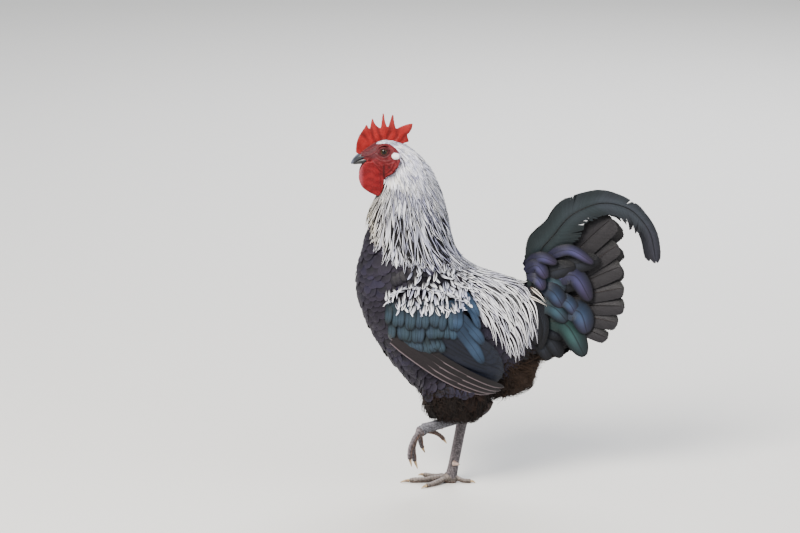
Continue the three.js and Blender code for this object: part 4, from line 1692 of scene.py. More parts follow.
@dataclass
class Tail:
    """Fan, sickle and coverts of one side of the tail."""

    side: Side
    fan_root: tuple[float, float] = (118, 280)
    # angle, length and half width of each main feather, from the top
    fan: Line = ((51.5, 180, 22), (35.5, 160, 15), (24.5, 149, 16.5), (12, 143, 14.5), (1.0, 141, 14),
        (-9.5, 133, 13.5), (-21, 124, 11.5))
    behind: float = 5.5  # how far the other side's feathers are turned, to fill the gaps
    covert: Vane = Vane(8, Tip.LEAF, root_depth=3.0, tip_lift=0.5, rise=0.6, rows=16, columns=9,
        camber=0.07, thickness=0.6, roll=0.12, blunt=0.35)
    coat: Coat = field(init=False)  # the piece being built

    def build(self) -> None:
        """Builds the three pieces of this side."""
        side = self.side.name.lower()
        for name, lay, finish, slot, nodes in (
                (f"tail_vanes_{side}", self._fan, STRAND_VANE, "black_feather", [f"tail_fan_{side}"]),
                (f"sickle_vane_{side}", self._sickle, STRAND_VANE, "gloss_feather", [f"sickle_{side}"]),
                (f"tail_coverts_{side}", self._coverts, GLOSS_VANE, "gloss_feather", [])):
            self.coat = Coat(name)
            lay()
            self.coat.make(finish, slot, nodes)

    def _fan(self) -> None:
        """Lays the main tail feathers, each on its own layer."""
        s = self.side.value
        outline = ((0, 0.3), (0.25, 0.6), (0.6, 0.93), (0.82, 1.0), (0.92, 1.0), (0.96, 0.93),
            (0.985, 0.75), (0.997, 0.4), (1.0, 0.0))
        fray = ((0, 0), (0.72, 0.0), (0.8, 0.1), (0.9, 0.04), (1, 0.04))
        for i, (angle, length, broad) in enumerate(self.fan):
            line = []
            for q in (0.08, 0.3, 0.5, 0.7, 0.85, 1.0):
                turn = math.radians(angle - self.behind * (s > 0)) - 0.07 * (i == 0) * q * q
                line.append((self.fan_root[0] + math.cos(turn) * length * q, s * (4 + 4.4 * i * q),
                    self.fan_root[1] + math.sin(turn) * length * q))
            webs = tuple([(q, broad * w * half) for q, w in outline] for half in (0.9, 1.0))
            # painted shadow: the upper web of each fan feather darkens outward, where the feather above lies
            # over it
            LongFeather(self.coat, 80 + i * 5 + (s > 0) * 50, smooth_line(line, 80), (0.0, s, 0.36), webs,
                (fray, fray), ("#141214", "#1a181b", "#201e21"), "#332b2a" if i % 2 else "#171314",
                web_shade=(0.75, 0.2)).build()

    def _sickle(self) -> None:
        """Lays the long feather that arches over the fan."""
        s = self.side.value
        reach, y = (1.0, 12) if self.side is Side.LEFT else (0.96, 9)
        keys = ((120, 302), (125, 335), (133.5, 365), (153, 389), (175.5, 417), (204, 433), (228, 438.5),
            (254, 434), (275, 422), (297, 392), (307, 347))
        line = [(124 + (x - 124) * reach, s * y, 306 + (z - 306) * reach) for x, z in keys]
        upper = ((0, 4), (0.13, 15), (0.24, 21.5), (0.355, 22.5), (0.44, 22.5), (0.5, 22), (0.57, 19),
            (0.635, 15), (0.7, 12), (0.775, 10.5), (0.9, 9), (0.955, 8), (0.98, 6.5), (0.996, 3), (1, 0))
        lower = ((0, 5), (0.13, 15), (0.255, 28), (0.365, 34), (0.44, 30), (0.54, 22), (0.65, 20),
            (0.75, 22), (0.81, 18), (0.84, 9.5), (0.955, 8), (0.98, 6.5), (0.996, 3), (1, 0))
        outer = ((0, 0), (0.4, 0), (0.42, 0.4), (0.45, 0), (0.66, 0), (0.68, 0.4), (0.7, 0), (1, 0))
        inner = ((0, 0), (0.12, 0.1), (0.2, 0.4), (0.4, 0.45), (0.46, 0.3), (0.54, 0.1), (0.62, 0.2),
            (0.68, 0.45), (0.8, 0.5), (0.83, 0), (1, 0))
        LongFeather(self.coat, 140 + s, smooth_line(line, 140), (0.0, s, 0.05), (upper, lower),
            (outer, inner), ("#192123", "#1f272a", "#292e34", "#26262f"), "#0d0f10", spacing=1.4).build()

    def _coverts(self) -> None:
        """Lays the hooked glossy coverts over the fan's root."""
        s = self.side.value
        rng = np.random.default_rng(170 + s)
        # painted shade: the dark coverts fill the gaps between the glossy ones
        green, teal, blue, violet, dark = "#182b2a", "#1a2a31", "#1c2637", "#24233a", "#101217"
        feathers = (
            ((138, 334), (178, 346), (222, 353), 16, 17, dark),
            ((128, 300), (165, 318), (200, 322), 17, 19, dark),
            ((126, 280), (160, 284), (190, 280), 18, 21, dark),
            ((124, 262), (150, 250), (176, 236), 18, 22, dark),
            ((118, 318), (152, 336), (186, 344), 13, 19, dark),
            ((134, 322), (160, 330), (188, 330), 14, 20, violet),
            ((128, 318), (152, 318), (172, 308), 13, 21, teal),
            ((126, 268), (156, 264), (184, 250), 15, 22, teal),
            ((140, 356), (176, 369), (213, 348), 9, 22, violet),
            ((148, 320), (184, 330), (209, 291), 13, 24, violet),
            ((112, 348), (134, 358), (158, 349), 8.5, 24, violet),
            ((110, 336), (128, 346), (143, 326), 9.5, 26, violet),
            ((114, 328), (128, 327), (139, 309), 8.5, 28, violet),
            ((134, 312), (153, 305), (168, 282), 12, 27, blue),
            ((156, 296), (175, 290), (187, 271), 10.5, 28, blue),
            ((130, 290), (155, 281), (174, 260), 12.5, 29, teal),
            ((164, 276), (192, 275), (204, 242), 15.5, 29.5, blue),
            ((136, 260), (172, 256), (201, 207), 17.5, 31, green),
            ((122, 300), (138, 262), (134, 218), 10, 33, dark),
            ((114, 292), (127, 255), (127, 226), 9, 36, dark),
            ((132, 250), (152, 228), (166, 204), 12, 27, dark),
            ((126, 244), (138, 222), (148, 201), 11, 30, dark),
        )  # root, middle, tip, half width, distance out and colour
        shares = self.covert.shares()
        lines = []
        for root, middle, tip, _, y, _ in feathers:
            x, z = self.covert.laid((root, middle, tip), 80).T
            lines.append(np.stack([x, s * (y - 6 * (1 - shares) ** 2 + 1.5 * np.sin(math.pi * shares)), z],
                axis=1))
        normals = unit(np.broadcast_to(np.array((0.15, s, 0.25)), np.shape(lines)).copy())
        batch = lift(self.covert, np.array(lines), normals, rng)
        batch.widths *= np.array([f[3] for f in feathers])[:, None] / self.covert.half_width
        batch.paint(np.stack([linear(f[5]) for f in feathers]) * rng.uniform(0.85, 1.15, (len(feathers), 1)))
        t = shares[None, :, None]
        across = np.linspace(-1, 1, self.covert.columns)[None, None]
        # painted highlight across the middle of each covert, and painted shade towards its edges and ends
        gleam = np.exp(-(((t - 0.62) / 0.22) ** 2) - ((across * s - 0.2) / 0.45) ** 2)
        batch.tones *= 0.6 + 1.9 * gleam[..., None]
        batch.tones[:] = mix(batch.tones, batch.tones[..., [2, 0, 1]], ease(0.5, 1, t) * 0.25 + 0 * across)
        batch.rim("#050507", 0.85, 0.6, 0.94)
        batch.stripes[:] = 0.6
        self.coat.add(batch)


# ---- skin
def curve(start: Sequence[float], bend: Sequence[float], end: Sequence[float], count: int = 10) -> list:
    """Gives the points after start on a curve that leans towards one control point.

    Args:
        start: Where it starts.
        bend: The control point.
        end: Where it ends.
        count: How many points.

    Returns:
        Points without the first.
    """
    t = np.linspace(0, 1, count + 1)[1:, None]
    a, b, c = (np.array(p, float) for p in (start, bend, end))
    return (a * (1 - t) ** 2 + 2 * b * t * (1 - t) + c * t**2).tolist()


@dataclass
class FleshPlate:
    """A plate of flesh with a soft rim, such as a comb or a wattle."""

    outline: Line
    thickness: float
    y: float = 0.0

    def build(self) -> Piece:
        """Builds the plate as a closed shell.

        Returns:
            The plate.
        """
        half = self.thickness / 2
        points = [(x, self.y + s * half, z) for s in (-1, 1) for x, z in self.outline]
        made = add_object("plate", points, rings(2, len(self.outline)))
        tidy_faces(made, triangles=True)
        return settle(made, voxels(0.7, 5))


@dataclass
class Limb:
    """A bare leg bone: its centre line, and the way its broad plates face."""

    line: Line
    front: Spot
    tint: str


@dataclass
class Skin:
    """The one skin of the bird: face, comb, wattles, lobes, body under the coat, legs and toes."""

    comb_spikes: Line = ((-126.5, 555, -122, 547), (-117.5, 564, -105, 549.5),
        (-101.5, 572.5, -94.5, 550.5), (-87.5, 570.5, -82, 549))
    wattle: Line = ((-128, 501), (-133.5, 494), (-137.5, 484), (-137.5, 474), (-133, 464), (-125, 457),
        (-116, 452), (-109, 450), (-104, 455), (-101, 466), (-100, 480), (-102, 491), (-108, 499),
        (-117, 502))
    eye: Spot = (-100.3, 11.2, 517.4)
    lobe: Spot = (-82.5, 18.6, 511.5)
    lobe_size: Spot = (6.0, 3.6, 4.7)
    # points and radius of each fold of the face
    creases: tuple = (((-137, 514.5), (-124, 518), (-113, 524.5), (-105, 528), 1.0),
        ((-133, 508.5), (-122, 511.5), (-112, 518), (-108, 523), 0.9),
        ((-110, 512), (-103, 508.5), (-95, 510), (-91, 514), 0.8),
        ((-113, 508), (-104, 504), (-95, 503.5), (-88, 506), 0.9),
        ((-121, 505), (-114, 500), (-108, 494), (-104, 488), 1.1),
        ((-79, 505), (-80, 496), (-86.5, 488), (-98, 481), 2.0),
        ((-86, 502), (-89, 495), (-94, 488.5), (-99, 484.5), 1.6),
        ((-124, 505), (-124.5, 500), (-121, 494), (-118, 489), 1.8),
        ((-90, 524), (-86, 519), (-85, 513), (-86, 508), 0.9),
        ((-110, 522), (-103, 526), (-95, 526.5), (-89, 523.5), 1.6),
        ((-117, 497), (-110, 495), (-104, 497), (-98, 498), 0.9),
        ((-100, 500), (-94, 499), (-89, 500), (-84, 503), 0.8),
        ((-116, 515), (-109, 512.5), (-103, 505.5), (-97, 501), 0.7),
        ((-112, 502), (-106, 499), (-101, 493), (-99, 488), 0.8))
    limbs: tuple[Limb, ...] = (
        Limb(((46, -42, 124), (-42, -44, 97)), (-0.29, 0.0, 0.96), "#67666d"),
        Limb(((21, 15, 110), (2, 1, 13)), (-1, 0, 0.1), "#6c6467"),
        Limb(((-3, 0, 8), (-38, -1, 4.3), (-70, -2, 2)), (0, 0, 1), "#736963"),
        Limb(((-2, -1, 8), (-22, -17, 4.3), (-44, -34, 2)), (0, 0, 1), "#736963"),
        Limb(((-2, 1, 8), (-24, 18, 4.3), (-48, 35, 2)), (0, 0, 1), "#736963"),
        Limb(((2, 0, 8), (19, 3, 4), (37, 5, 2)), (0, 0, 1), "#736963"),
        Limb(((-46, -45, 96), (-55, -45, 78), (-56, -45, 56), (-50, -45, 36)), (-1, 0, 0.2), "#665e62"),
        Limb(((-45, -41, 95), (-46, -35, 82), (-44, -31, 68), (-39, -30, 56)), (-1, 0, 0.2), "#665e62"),
        Limb(((-46, -48, 95), (-57, -55, 80), (-62, -58, 61), (-59, -60, 43)), (-1, 0, 0.2), "#665e62"),
        Limb(((-36, -42, 94), (-24, -39, 90), (-14, -38, 83), (-6, -39, 73)), (0.4, 0, 0.9), "#473832"),
        )
    parts: dict[str, list[Surface]] = field(default_factory=dict)

    def build(self, guide: Piece) -> Piece:
        """Fuses head, body and legs to one watertight skin and dresses it.

        Args:
            guide: The coat's outer face, which the body lies under.

        Returns:
            The skin.
        """
        made = self._body(guide)
        for shell in (self._head(), self._legs()):
            made = settle(made, [("BOOLEAN", {"operation": "UNION", "solver": "MANIFOLD", "object": shell})])
            bpy.data.objects.remove(shell)
        made.name = "skin"
        made.data.name = "skin"
        self._dress(made.data)
        nodes = ["head", "comb", "neck", "trunk", "tail_root"]
        for side in ("left", "right"):
            nodes += [f"{part}_{side}" for part in ("wattle", "earlobe", "wing", "thigh", "shank", "foot")]
            nodes += [f"toe_{side}_{toe}" for toe in TOES]
        return place(made, "face_skin", nodes)

    def _body(self, guide: Piece) -> Piece:
        """Builds the body, inside the coat's face by the coat's depth.

        Args:
            guide: The coat's outer face.

        Returns:
            The body.
        """
        made = link("body", guide.data.copy())
        points, normals = corners_of(made.data), normals_of(made.data)
        depth = np.interp(points[:, 2], [96, 112, 150, 380, 440, 490, 510], [1.5, 4, 9, 10, 8, 4, 1.6])
        depth *= 1 - 0.55 * ease(110, 150, points[:, 0])
        move_corners(made.data, points - normals * depth[:, None])
        return settle(made, voxels(2.6, 3))

    def _comb(self) -> Piece:
        """Builds the single comb, thicker at its base.

        Returns:
            The comb.
        """
        outline = [(-142, 513), *curve((-142, 513), (-143.5, 534), (-129.5, 550))]
        for x, z, valley_x, valley_z in self.comb_spikes:
            outline += [(x - 0.8, z - 0.2), (x, z + 0.5), (x + 1.3, z - 0.8)]
            outline += curve((x + 1.3, z - 0.8), (x + 2.5, valley_z + 5), (valley_x, valley_z))
        outline += curve(outline[-1], (-70, 556), (-57.5, 557.5))
        outline += curve((-57.5, 557.5), (-58, 546), (-66, 540)) + [(-63, 529.5)]
        outline += curve((-63, 529.5), (-76, 527), (-90, 521)) + [(-128, 507)]
        made = FleshPlate(outline, 3.6).build()
        points = corners_of(made.data)
        x, _, z = points.T
        base = ease(548, 522, z + (x + 100) * 0.1)
        fan = np.arctan2(z - 505, x + 100)  # folds spread like a fan from over the eye
        ribs = np.sin(fan * 21 + ripple(points, 22, 5)) * ease(520, 538, z)
        points[:, 1] *= (0.95 + 1.15 * base) * (1 + 0.2 * ribs)
        points[:, 1] += (1.3 * ripple(points * (1, 0, 1), 40, 6) + 0.35 * ribs) * ease(525, 560, z)
        points += normals_of(made.data) * (0.1 * ripple(points, 3.4, 7))[:, None]
        move_corners(made.data, points)
        return made

    def _wattle(self, side: Side) -> Piece:
        """Builds one wattle, full in its middle and thin at the rim.

        Args:
            side: The side it hangs on.

        Returns:
            The wattle.
        """
        outline = smooth_line([*self.wattle, self.wattle[0]], 70)[:-1].tolist()
        made = FleshPlate(outline, 4.2).build()
        points = corners_of(made.data)
        x, _, z = points.T
        full = np.clip(1 - (((x + 118) / 21) ** 2 + ((z - 476) / 28) ** 2), 0, 1)
        fold = 0.8 * np.sin((x + 118) * 0.2 + (z - 476) * 0.05)
        furrow = 0.5 * np.exp(-(((x + 104.5 + (z - 476) * 0.04) / 1.6) ** 2)) * ease(503, 490, z)
        points[:, 1] *= 0.8 + 0.75 * full - furrow
        points[:, 1] += side.value * (11.5 + 2.1 * ease(492, 458, z) + fold)
        points += normals_of(made.data) * (0.09 * ripple(points, 3.0, 8))[:, None]
        move_corners(made.data, points)
        return made

    def _head(self) -> Piece:
        """Builds the bare head with its lids, creases, lobes, wattles and comb.

        Returns:
            The head.
        """
        base = settle(copy_nodes("head_base", ["head"], 0.1), voxels(1.0, 14))
        points = corners_of(base.data)
        gape = ease(-116.5, -121.5, points[:, 0]) * np.exp(-(((points[:, 2] - 502.5) / 6.5) ** 4))
        points[:, 1] *= 1 - 0.25 * gape
        move_corners(base.data, points)
        surface = Surface(base)
        shells = {"comb": [self._comb()], "wattle": [self._wattle(side) for side in Side],
            "lobe": [ball("lobe", np.array(self.lobe) * (1, side.value, 1), self.lobe_size) for side in Side]}
        self.parts = {name: [Surface(shell) for shell in group] for name, group in shells.items()}
        self.parts["face"] = [surface]
        parts = [base, *(shell for group in shells.values() for shell in group)]
        for side in Side:
            parts += self._lids(side)
            for *line, radius in self.creases:
                flat = smooth_line(line, 16)
                points, normals = surface.from_side(flat, side)
                radii = 1.25 * radius * np.sin(np.linspace(0.25, math.pi - 0.25, 16)) ** 0.6
                parts.append(add_object("crease", *tube(points - normals * 0.1 * radius, radii,
                    np.array((0, 1, 0.02)))))
        made = settle(join(parts), voxels(0.75, 2))
        points, normals = corners_of(made.data), normals_of(made.data)
        fine = 0.07 * ripple(points * (1, 1, 1.6), 2.6, 9) + 0.12 * ripple(points, 5, 10)
        move_corners(made.data, points + normals * fine[:, None])
        return made

    def _lids(self, side: Side) -> list[Piece]:
        """Builds the rings of the eyelids, which hug the eyeball.

        Args:
            side: The eye's side.

        Returns:
            The rings.
        """
        x, y, z = self.eye
        lids = []
        for wide, high, radius, out in ((5.6, 4.8, 1.0, 8.0), (7.5, 6.5, 1.05, 8.9)):
            turn = np.linspace(0, 2 * math.pi, 41)
            flat = np.stack([wide * np.cos(turn), high * np.sin(turn)], axis=1)
            deep = np.sqrt(np.maximum(out**2 - (flat**2).sum(1), 1))
            line = np.stack([x + flat[:, 0], side.value * (y + deep), z + flat[:, 1]], axis=1)
            radii = radius * (1 + 0.22 * np.sin(turn))
            lids.append(add_object("lid", *tube(line, radii, np.array((0.01, 1, 0)))))
        return lids

    def _legs(self) -> Piece:
        """Builds shanks, feet and toes, and their roots inside the thighs.

        Returns:
            Both legs in one shell.
        """
        names = [f"{part}_{side}" for side in ("left", "right") for part in ("shank", "foot")]
        names += [f"toe_{side}_{toe}" for side in ("left", "right") for toe in TOES]
        parts = [copy_nodes("legs", names, 0.28)]
        for line in (((40, -42, 121.5), (50, -43, 130), (54, -44, 142)),
                ((19, 13.5, 100), (24, 17, 116), (28, 20, 132))):
            roots = smooth_line(line, 10)
            parts.append(add_object("root", *tube(roots, np.linspace(7.6, 11, 10), np.array((0, 1, 0)))))
        made = settle(join(parts), voxels(0.9, 4))
        points, normals = corners_of(made.data), normals_of(made.data)
        along, front, _ = self._limb_marks(points, normals)[:3]
        plates = (along / 4.6) % 1
        step = 0.42 * front * np.minimum(plates / 0.75, (1 - plates) / 0.25)
        beads = 0.2 * (1 - front) * ripple(points, 3.2, 15)
        move_corners(made.data, points + normals * (step + beads - 0.1)[:, None])
        return made

    def _limb_marks(self, points: Array, normals: Array) -> tuple[Array, Array, Array, Array]:
        """Finds each point's place on the nearest limb.

        Args:
            points: Points.
            normals: Outward directions.

        Returns:
            Distance along the limb, how far it faces front, the limb's number, and distance from it.
        """
        best = np.full(len(points), 1e9)
        along, front, number = np.zeros(len(points)), np.zeros(len(points)), np.zeros(len(points), int)
        for i, limb in enumerate(self.limbs):
            line = smooth_line(limb.line, 50)
            gap = np.linalg.norm(points[:, None] - line[None], axis=-1)
            near = gap.argmin(1)
            reach = gap[np.arange(len(points)), near] - (2.0 if i < 2 else 0.0)
            run = unit(np.gradient(line, axis=0))
            step = np.linalg.norm(np.diff(line, axis=0), axis=1).mean()
            exact = near * step + ((points - line[near]) * run[near]).sum(1)
            closer = reach < best
            best = np.where(closer, reach, best)
            along = np.where(closer, exact, along)
            faces = ease(0.15, 0.6, normals @ unit(np.array(limb.front, float)))
            front = np.where(closer, faces, front)
            number = np.where(closer, i, number)
        return along, front, number, best

    def _head_tones(self, points: Array, tone: Array, kind: Array) -> None:
        """Colours the bare head by the part that each point belongs to.

        Args:
            points: Points of the skin.
            tone: Colours, changed in place.
            kind: Finishes, changed in place.
        """
        head = np.flatnonzero((points[:, 2] > 445) & (points[:, 0] < -50))
        points = points[head]
        x, _, z = points.T
        gap = {name: np.min([part.distance(points) for part in group], axis=0)
            for name, group in self.parts.items()}
        face = inside(REGIONS.bare_face, points)
        eye = np.hypot(x - self.eye[0], (z - self.eye[2]) * 1.1)
        red = mix("#561418", "#6d2025", ease(-0.5, 0.8, ripple(points, 9, 16)))
        red = mix(red, "#640b0f", ease(506, 496, z) * 0.75)
        red = mix(red, "#4a2228", ease(504, 510, z) * ease(-102, -116, x) * 0.8)
        # darker skin round the eye, with painted shade in its socket
        red = mix(red, "#3a1218", ease(13, 6.5, eye) * 0.85)
        red = mix(red, "#150a0c", ease(7.2, 5.4, eye) * 0.9)
        crimson = mix("#74100f", "#8a1a19", ease(-0.7, 0.8, ripple(points, 16, 18)))
        # painted shade in the grooves between the comb's folds
        folds = np.sin(np.arctan2(z - 505, x + 100) * 21 + ripple(points, 22, 5))
        crimson = mix(crimson, "#470609", ease(0.2, -0.9, folds) * ease(522, 540, z) * 0.6)
        # painted highlight on the upper comb and its spikes
        crimson = mix(crimson, "#b04441", ease(540, 570, z + np.abs(x + 100) * 0.15) * 0.35)
        hang = mix("#640c11", "#781519", ease(-0.7, 0.8, ripple(points, 12, 19)))
        hang = mix(hang, "#a2505c", ease(-129, -137, x) * 0.6)
        white = mix("#ddd5d9", "#f5f1f1", ease(-1, 1, ripple(points, 4, 20)))
        shown = np.where(face[:, None], red, tone[head])
        shade = np.where(face, 2, 0)
        for name, colour, number in (("comb", crimson, 1), ("wattle", hang, 1), ("lobe", white, 3)):
            apart = gap["face"] - gap[name]
            near = gap[name] < 1.6
            shown = mix(shown, colour, ease(-0.5, 0.6, apart) * near)
            shade[(apart > 0) & near] = number
        # painted shade: a dark line in the gap behind the wattle, and a dark spot in the recess beside it
        behind = np.exp(-(((x + 100.5) / 1.7) ** 2)) * ease(501, 495, z) * ease(474, 481, z)
        under = np.exp(-(((x + 92.5) / 2.8) ** 2) - ((z - 494.5) / 3.6) ** 2)
        shown = mix(shown, "#26060a", np.maximum(0.85 * behind, 0.7 * under))
        tone[head] = shown
        kind[head] = shade

    def _tones(self, points: Array, normals: Array) -> tuple[Array, Array, Array, Array]:
        """Colours the skin and sorts it by finish.

        Args:
            points: Points of the skin.
            normals: Outward directions.

        Returns:
            Colour, kind (0 body, 1 comb, 2 face, 3 lobe, 4 leg), distance along a limb, front share.
        """
        z = points[:, 2]
        tone, kind = MARKINGS.at(points), np.zeros(len(points), int)
        self._head_tones(points, tone, kind)
        along, front, number, distance = self._limb_marks(points, normals)
        leg = (z < 126 - 14 * (points[:, 1] > -10)) & (distance < 13.5)
        kind[leg] = 4
        tints = np.stack([linear(limb.tint) for limb in self.limbs])[number]
        tints = mix(tints * 0.72, tints, front) * (1 + 0.16 * ripple(points, 9, 21))[:, None]
        fronts = unit(np.array([limb.front for limb in self.limbs], float))[number]
        under = ease(0.1, 0.7, -(normals * fronts).sum(1))
        tints = mix(tints, "#5f4231", under * (number > 1) * 0.8)
        tone[leg] = tints[leg]
        return tone, kind, along, front

    def _dress(self, mesh: Mesh) -> None:
        """Colours the skin, with painted shade in creases and a painted highlight on ridges, and gives each
        region its finish.

        Args:
            mesh: The skin's mesh.
        """
        points, normals = corners_of(mesh), normals_of(mesh)
        tone, kind, along, front = self._tones(points, normals)
        depth = hollows(mesh)
        # painted shade in creases
        tone *= (1 - 0.7 * ease(0.02, 0.45, depth))[:, None]
        # painted highlight on the ridges of comb and face
        ridge = ease(0.05, 0.6, -depth) * np.isin(kind, (1, 2))
        tone = mix(tone, "#b8504f", ridge * 0.4)
        write_marks(mesh, tone, {"along": along, "front": front})
        mesh.materials.clear()
        for finish in (LivingSkin("fowl_skin_under_feathers", relief=0.15),
                LivingSkin("comb_skin_pebbled", pebble=1.25, relief=0.24, roughness=0.42),
                LivingSkin("face_skin_wrinkled", pebble=1.0, relief=0.18, roughness=0.5),
                LivingSkin("ear_lobe_skin_smooth", pebble=0.9, relief=0.03, roughness=0.45, pit_shade=0.07),
                ScaledSkin("leg_scale_keratin_dry")):
            mesh.materials.append(finish.material())
        starts = np.zeros(len(mesh.polygons), np.int32)
        mesh.polygons.foreach_get("loop_start", starts)
        corners = np.zeros(len(mesh.loops), np.int32)
        mesh.loops.foreach_get("vertex_index", corners)
        mesh.polygons.foreach_set("material_index", kind[corners[starts]].astype(np.int32))
        mesh.shade_smooth()


# ---- beak, claws, spurs and eyes
@dataclass
class Beak:
    """The upper and lower beak, lofted through keyed sections."""

    upper: Line = ((-117, 520, -117, 506, 9.6), (-124, 518.4, -123, 505, 9.0),
        (-130, 516, -129, 504.2, 8.3), (-139.5, 510.8, -137, 501.2, 6.3), (-146, 504.8, -143.5, 498, 4.0),
        (-149.4, 499.0, -147.4, 495.8, 1.7), (-149.9, 496.6, -148.9, 495.2, 0.6))
    lower: Line = ((-117, 508, -118, 497.8, 8.2), (-124, 507.4, -124, 497, 7.6),
        (-130, 506.4, -130, 496.6, 6.6), (-138, 503.2, -137.5, 495.6, 4.9),
        (-144, 499.2, -143.8, 495.0, 2.7), (-146.6, 497.2, -146.4, 495.3, 0.9))
    sides: int = 40
    rings: int = 44

    def build(self) -> None:
        """Builds both halves."""
        self._half("beak_horn_upper", self.upper, "beak_upper", True)
        self._half("beak_horn_lower", self.lower, "beak_lower", False)

    def _half(self, name: str, keys: Line, node: str, above: bool) -> None:
        """Builds one half of the beak.

        Args:
            name: Name of the piece.
            keys: Back X and Z, front X and Z, and half width of each section.
            node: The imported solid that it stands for.
            above: True for the upper half, which has the nostrils and the ridge.
        """
        rows = smooth_line(keys, self.rings)
        turn = np.linspace(0, 2 * math.pi, self.sides, endpoint=False)
        back, front = rows[:, [0, 1]], rows[:, [2, 3]]
        middle, reach = (back + front) / 2, (back - front) / 2
        squash = np.sign(np.sin(turn)) * np.abs(np.sin(turn)) ** 0.9
        flat = middle[:, None] + reach[:, None] * np.cos(turn)[None, :, None]
        wide = np.maximum(rows[:, 4:5], 0.3) * squash[None]
        if above:
            wide = wide * (1 - 0.22 * np.clip(np.cos(turn), 0, 1) ** 2)[None]
        points = np.stack([flat[..., 0], wide, flat[..., 1]], axis=-1).reshape(-1, 3)
        if above:
            hole = np.exp(-(((points[:, 0] + 131.5) / 2.6) ** 2) - ((points[:, 2] - 509.6) / 1.1) ** 2)
            points[:, 1] *= 1 - 0.4 * hole
        made = add_object(name, points, rings(self.rings, self.sides))
        tidy_faces(made)
        x, _, z = points.T
        # painted highlight along the top ridge of the upper beak, which is also paler towards its tip
        ridge = np.tile(ease(0.55, 1, np.cos(turn)), self.rings) if above else np.zeros(len(x))
        tone = mix("#141821", "#62687b", np.clip(ridge * 0.7 + ease(-143, -150, x) * 0.6, 0, 1))
        tone = mix(tone, "#09090c", 0.95 * ease(506.5, 500, z + (x + 130) * 0.25) * (not above))
        tone = mix(tone, "#4d3238", ease(-124, -118, x) * 0.8)
        # painted shade in the nostrils
        if above:
            tone = mix(tone, "#0d0b0d", np.clip(hole * 1.3, 0, 1))
        write_marks(made.data, tone, {})
        made.data.materials.append(Horn("beak_horn_keratin").material())
        place(made, "beak_horn", [node])


@dataclass
class Talons:
    """Claws and spurs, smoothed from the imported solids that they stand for."""

    def build(self) -> None:
        """Builds the claws of both feet, and both spurs."""
        for side in Side:
            name = side.name.lower()
            self._horn(f"claws_{name}", [f"claw_{name}_{toe}" for toe in TOES], "#a98f69", "#644c38")
            self._horn(f"spur_horn_{name}", [f"spur_{name}"], "#a99389", "#876d64")

    def _horn(self, name: str, nodes: list[str], light: str, dark: str) -> None:
        """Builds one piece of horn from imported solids.

        Args:
            name: Name of the piece.
            nodes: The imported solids.
            light: Its paler colour.
            dark: Its darker colour.
        """
        made = settle(copy_nodes(name, nodes, 0.3), [("SUBSURF", {"levels": 2, "render_levels": 2})])
        made.data.shade_smooth()
        made.data.materials.clear()
        points = corners_of(made.data)
        tone = mix(light, dark, ease(-0.4, 1, ripple(points, 11, 31)))
        write_marks(made.data, tone, {})
        made.data.materials.append(Horn(f"{name}_keratin", roughness=0.42).material())
        place(made, "claw_horn", nodes)


@dataclass
class Eye:
    """One eyeball with its bulging cornea."""

    side: Side
    centre: Spot = (-100.3, 11.2, 517.2)
    radius: float = 7.4

    def build(self) -> None:
        """Builds the eye."""
        name = self.side.name.lower()
        x, y, z = self.centre
        made = ball(f"eyeball_{name}", (0, 0, 0), (self.radius,) * 3, 56)
        points = corners_of(made.data)
        out = np.hypot(points[:, 0], points[:, 2])
        points[:, 1] *= 1 + 0.07 * np.exp(-((out / 3.8) ** 2))
        move_corners(made.data, points + (x, y * self.side.value, z))
        made.data.shade_smooth()
        made.data.materials.append(WetEye(f"eye_wet_cornea_{name}", (x, 0, z)).material())
        place(made, "eye", [f"eye_{name}"])


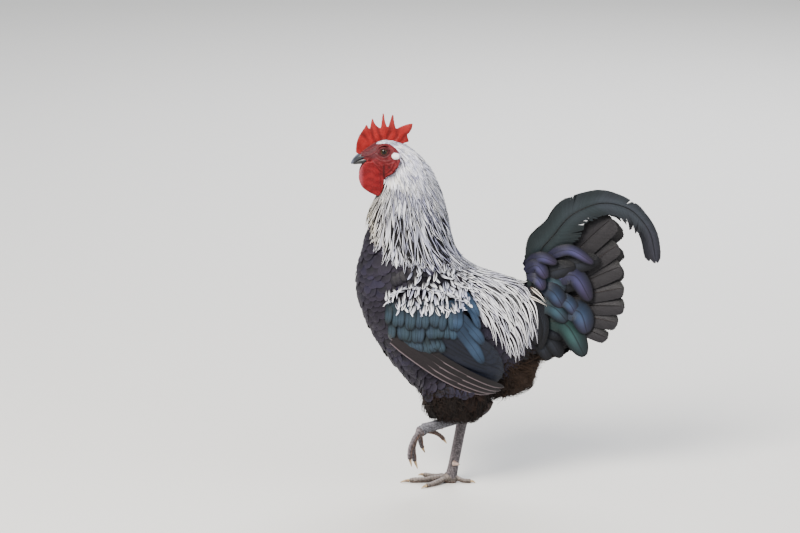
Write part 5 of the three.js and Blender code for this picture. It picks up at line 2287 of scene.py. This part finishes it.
# ---- studio
@dataclass
class Studio:
    """Plain pale floor, soft light and the camera."""

    aim: Spot = (-0.0765, 0.0, 0.338)
    distance: float = 6.0
    elevation: float = 14.0
    lens: float = 180.0

    def build(self) -> None:
        """Builds floor, light and camera."""
        floor = add_object("floor", np.array(((-2, -2, 0), (2, -2, 0), (2, 2, 0), (-2, 2, 0))) * 1e4,
            [(0, 1, 2, 3)])
        floor.data.materials.append(FloorPaint().material())
        self._light("key", (-1.6, -2.4, 3.0), 1.8, 375, "#fffaf2")
        self._light("fill", (2.6, -1.6, 1.6), 2.6, 68, "#f2f6ff")
        self._light("back", (0.8, 2.8, 2.6), 2.2, 165, "#f6f8ff")
        world = bpy.data.worlds.new("soft_sky")
        bpy.context.scene.world = world
        world.use_nodes = True
        world.node_tree.nodes["Background"].inputs[0].default_value = (*linear("#dfe4ea"), 1)
        world.node_tree.nodes["Background"].inputs[1].default_value = 0.75
        view = bpy.data.cameras.new("camera")
        view.lens = self.lens
        view.sensor_width = 36
        view.clip_end = 60
        camera = link("camera", view)
        tilt = math.radians(self.elevation)
        away = Vector((0, -math.cos(tilt), math.sin(tilt))) * self.distance
        camera.location = Vector(self.aim) + away
        camera.rotation_euler = (math.pi / 2 - tilt, 0, 0)
        bpy.context.scene.camera = camera

    def _light(self, name: str, spot: tuple, size: float, power: float, colour: str) -> None:
        """Adds one soft square light that looks at the bird.

        Args:
            name: Its name.
            spot: Where it stands, in metres.
            size: Length of its edge.
            power: Its power in watts.
            colour: Its colour.
        """
        lamp = bpy.data.lights.new(name, "AREA")
        lamp.size, lamp.energy, lamp.color = size, power, tuple(linear(colour))
        made = link(name, lamp)
        made.location = spot
        made.rotation_euler = (Vector(self.aim) - Vector(spot)).to_track_quat("-Z", "Y").to_euler()


def main() -> None:
    """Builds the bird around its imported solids."""
    logging.basicConfig(level=logging.INFO, format="%(name)s %(message)s")
    Studio().build()
    flesh = ["head", "neck", "trunk", "tail_root", "thigh_left", "thigh_right"]
    guide = tuck(settle(copy_nodes("guide", flesh), voxels(3.0, 8)))
    over = tuck(settle(copy_nodes("over", [*flesh, "wing_left", "wing_right"]), voxels(2.8, 6)))
    crown = settle(copy_nodes("crown", ["head", "neck"], 0.1), voxels(1.1, 8))
    body, winged, headed = Surface(guide), Surface(over), Surface(crown)
    Skin().build(guide)
    for helper in (guide, over, crown):
        bpy.data.objects.remove(helper)
    Beak().build()
    Talons().build()
    for side in Side:
        Eye(side).build()
    HeadCoat(headed).build()
    Hackle(winged).build()
    Breast(body).build()
    Fluff(body).build()
    Saddle(winged).build()
    for side in Side:
        WingCoat(side, winged).build()
        Tail(side).build()


if __name__ == "__main__":
    main()
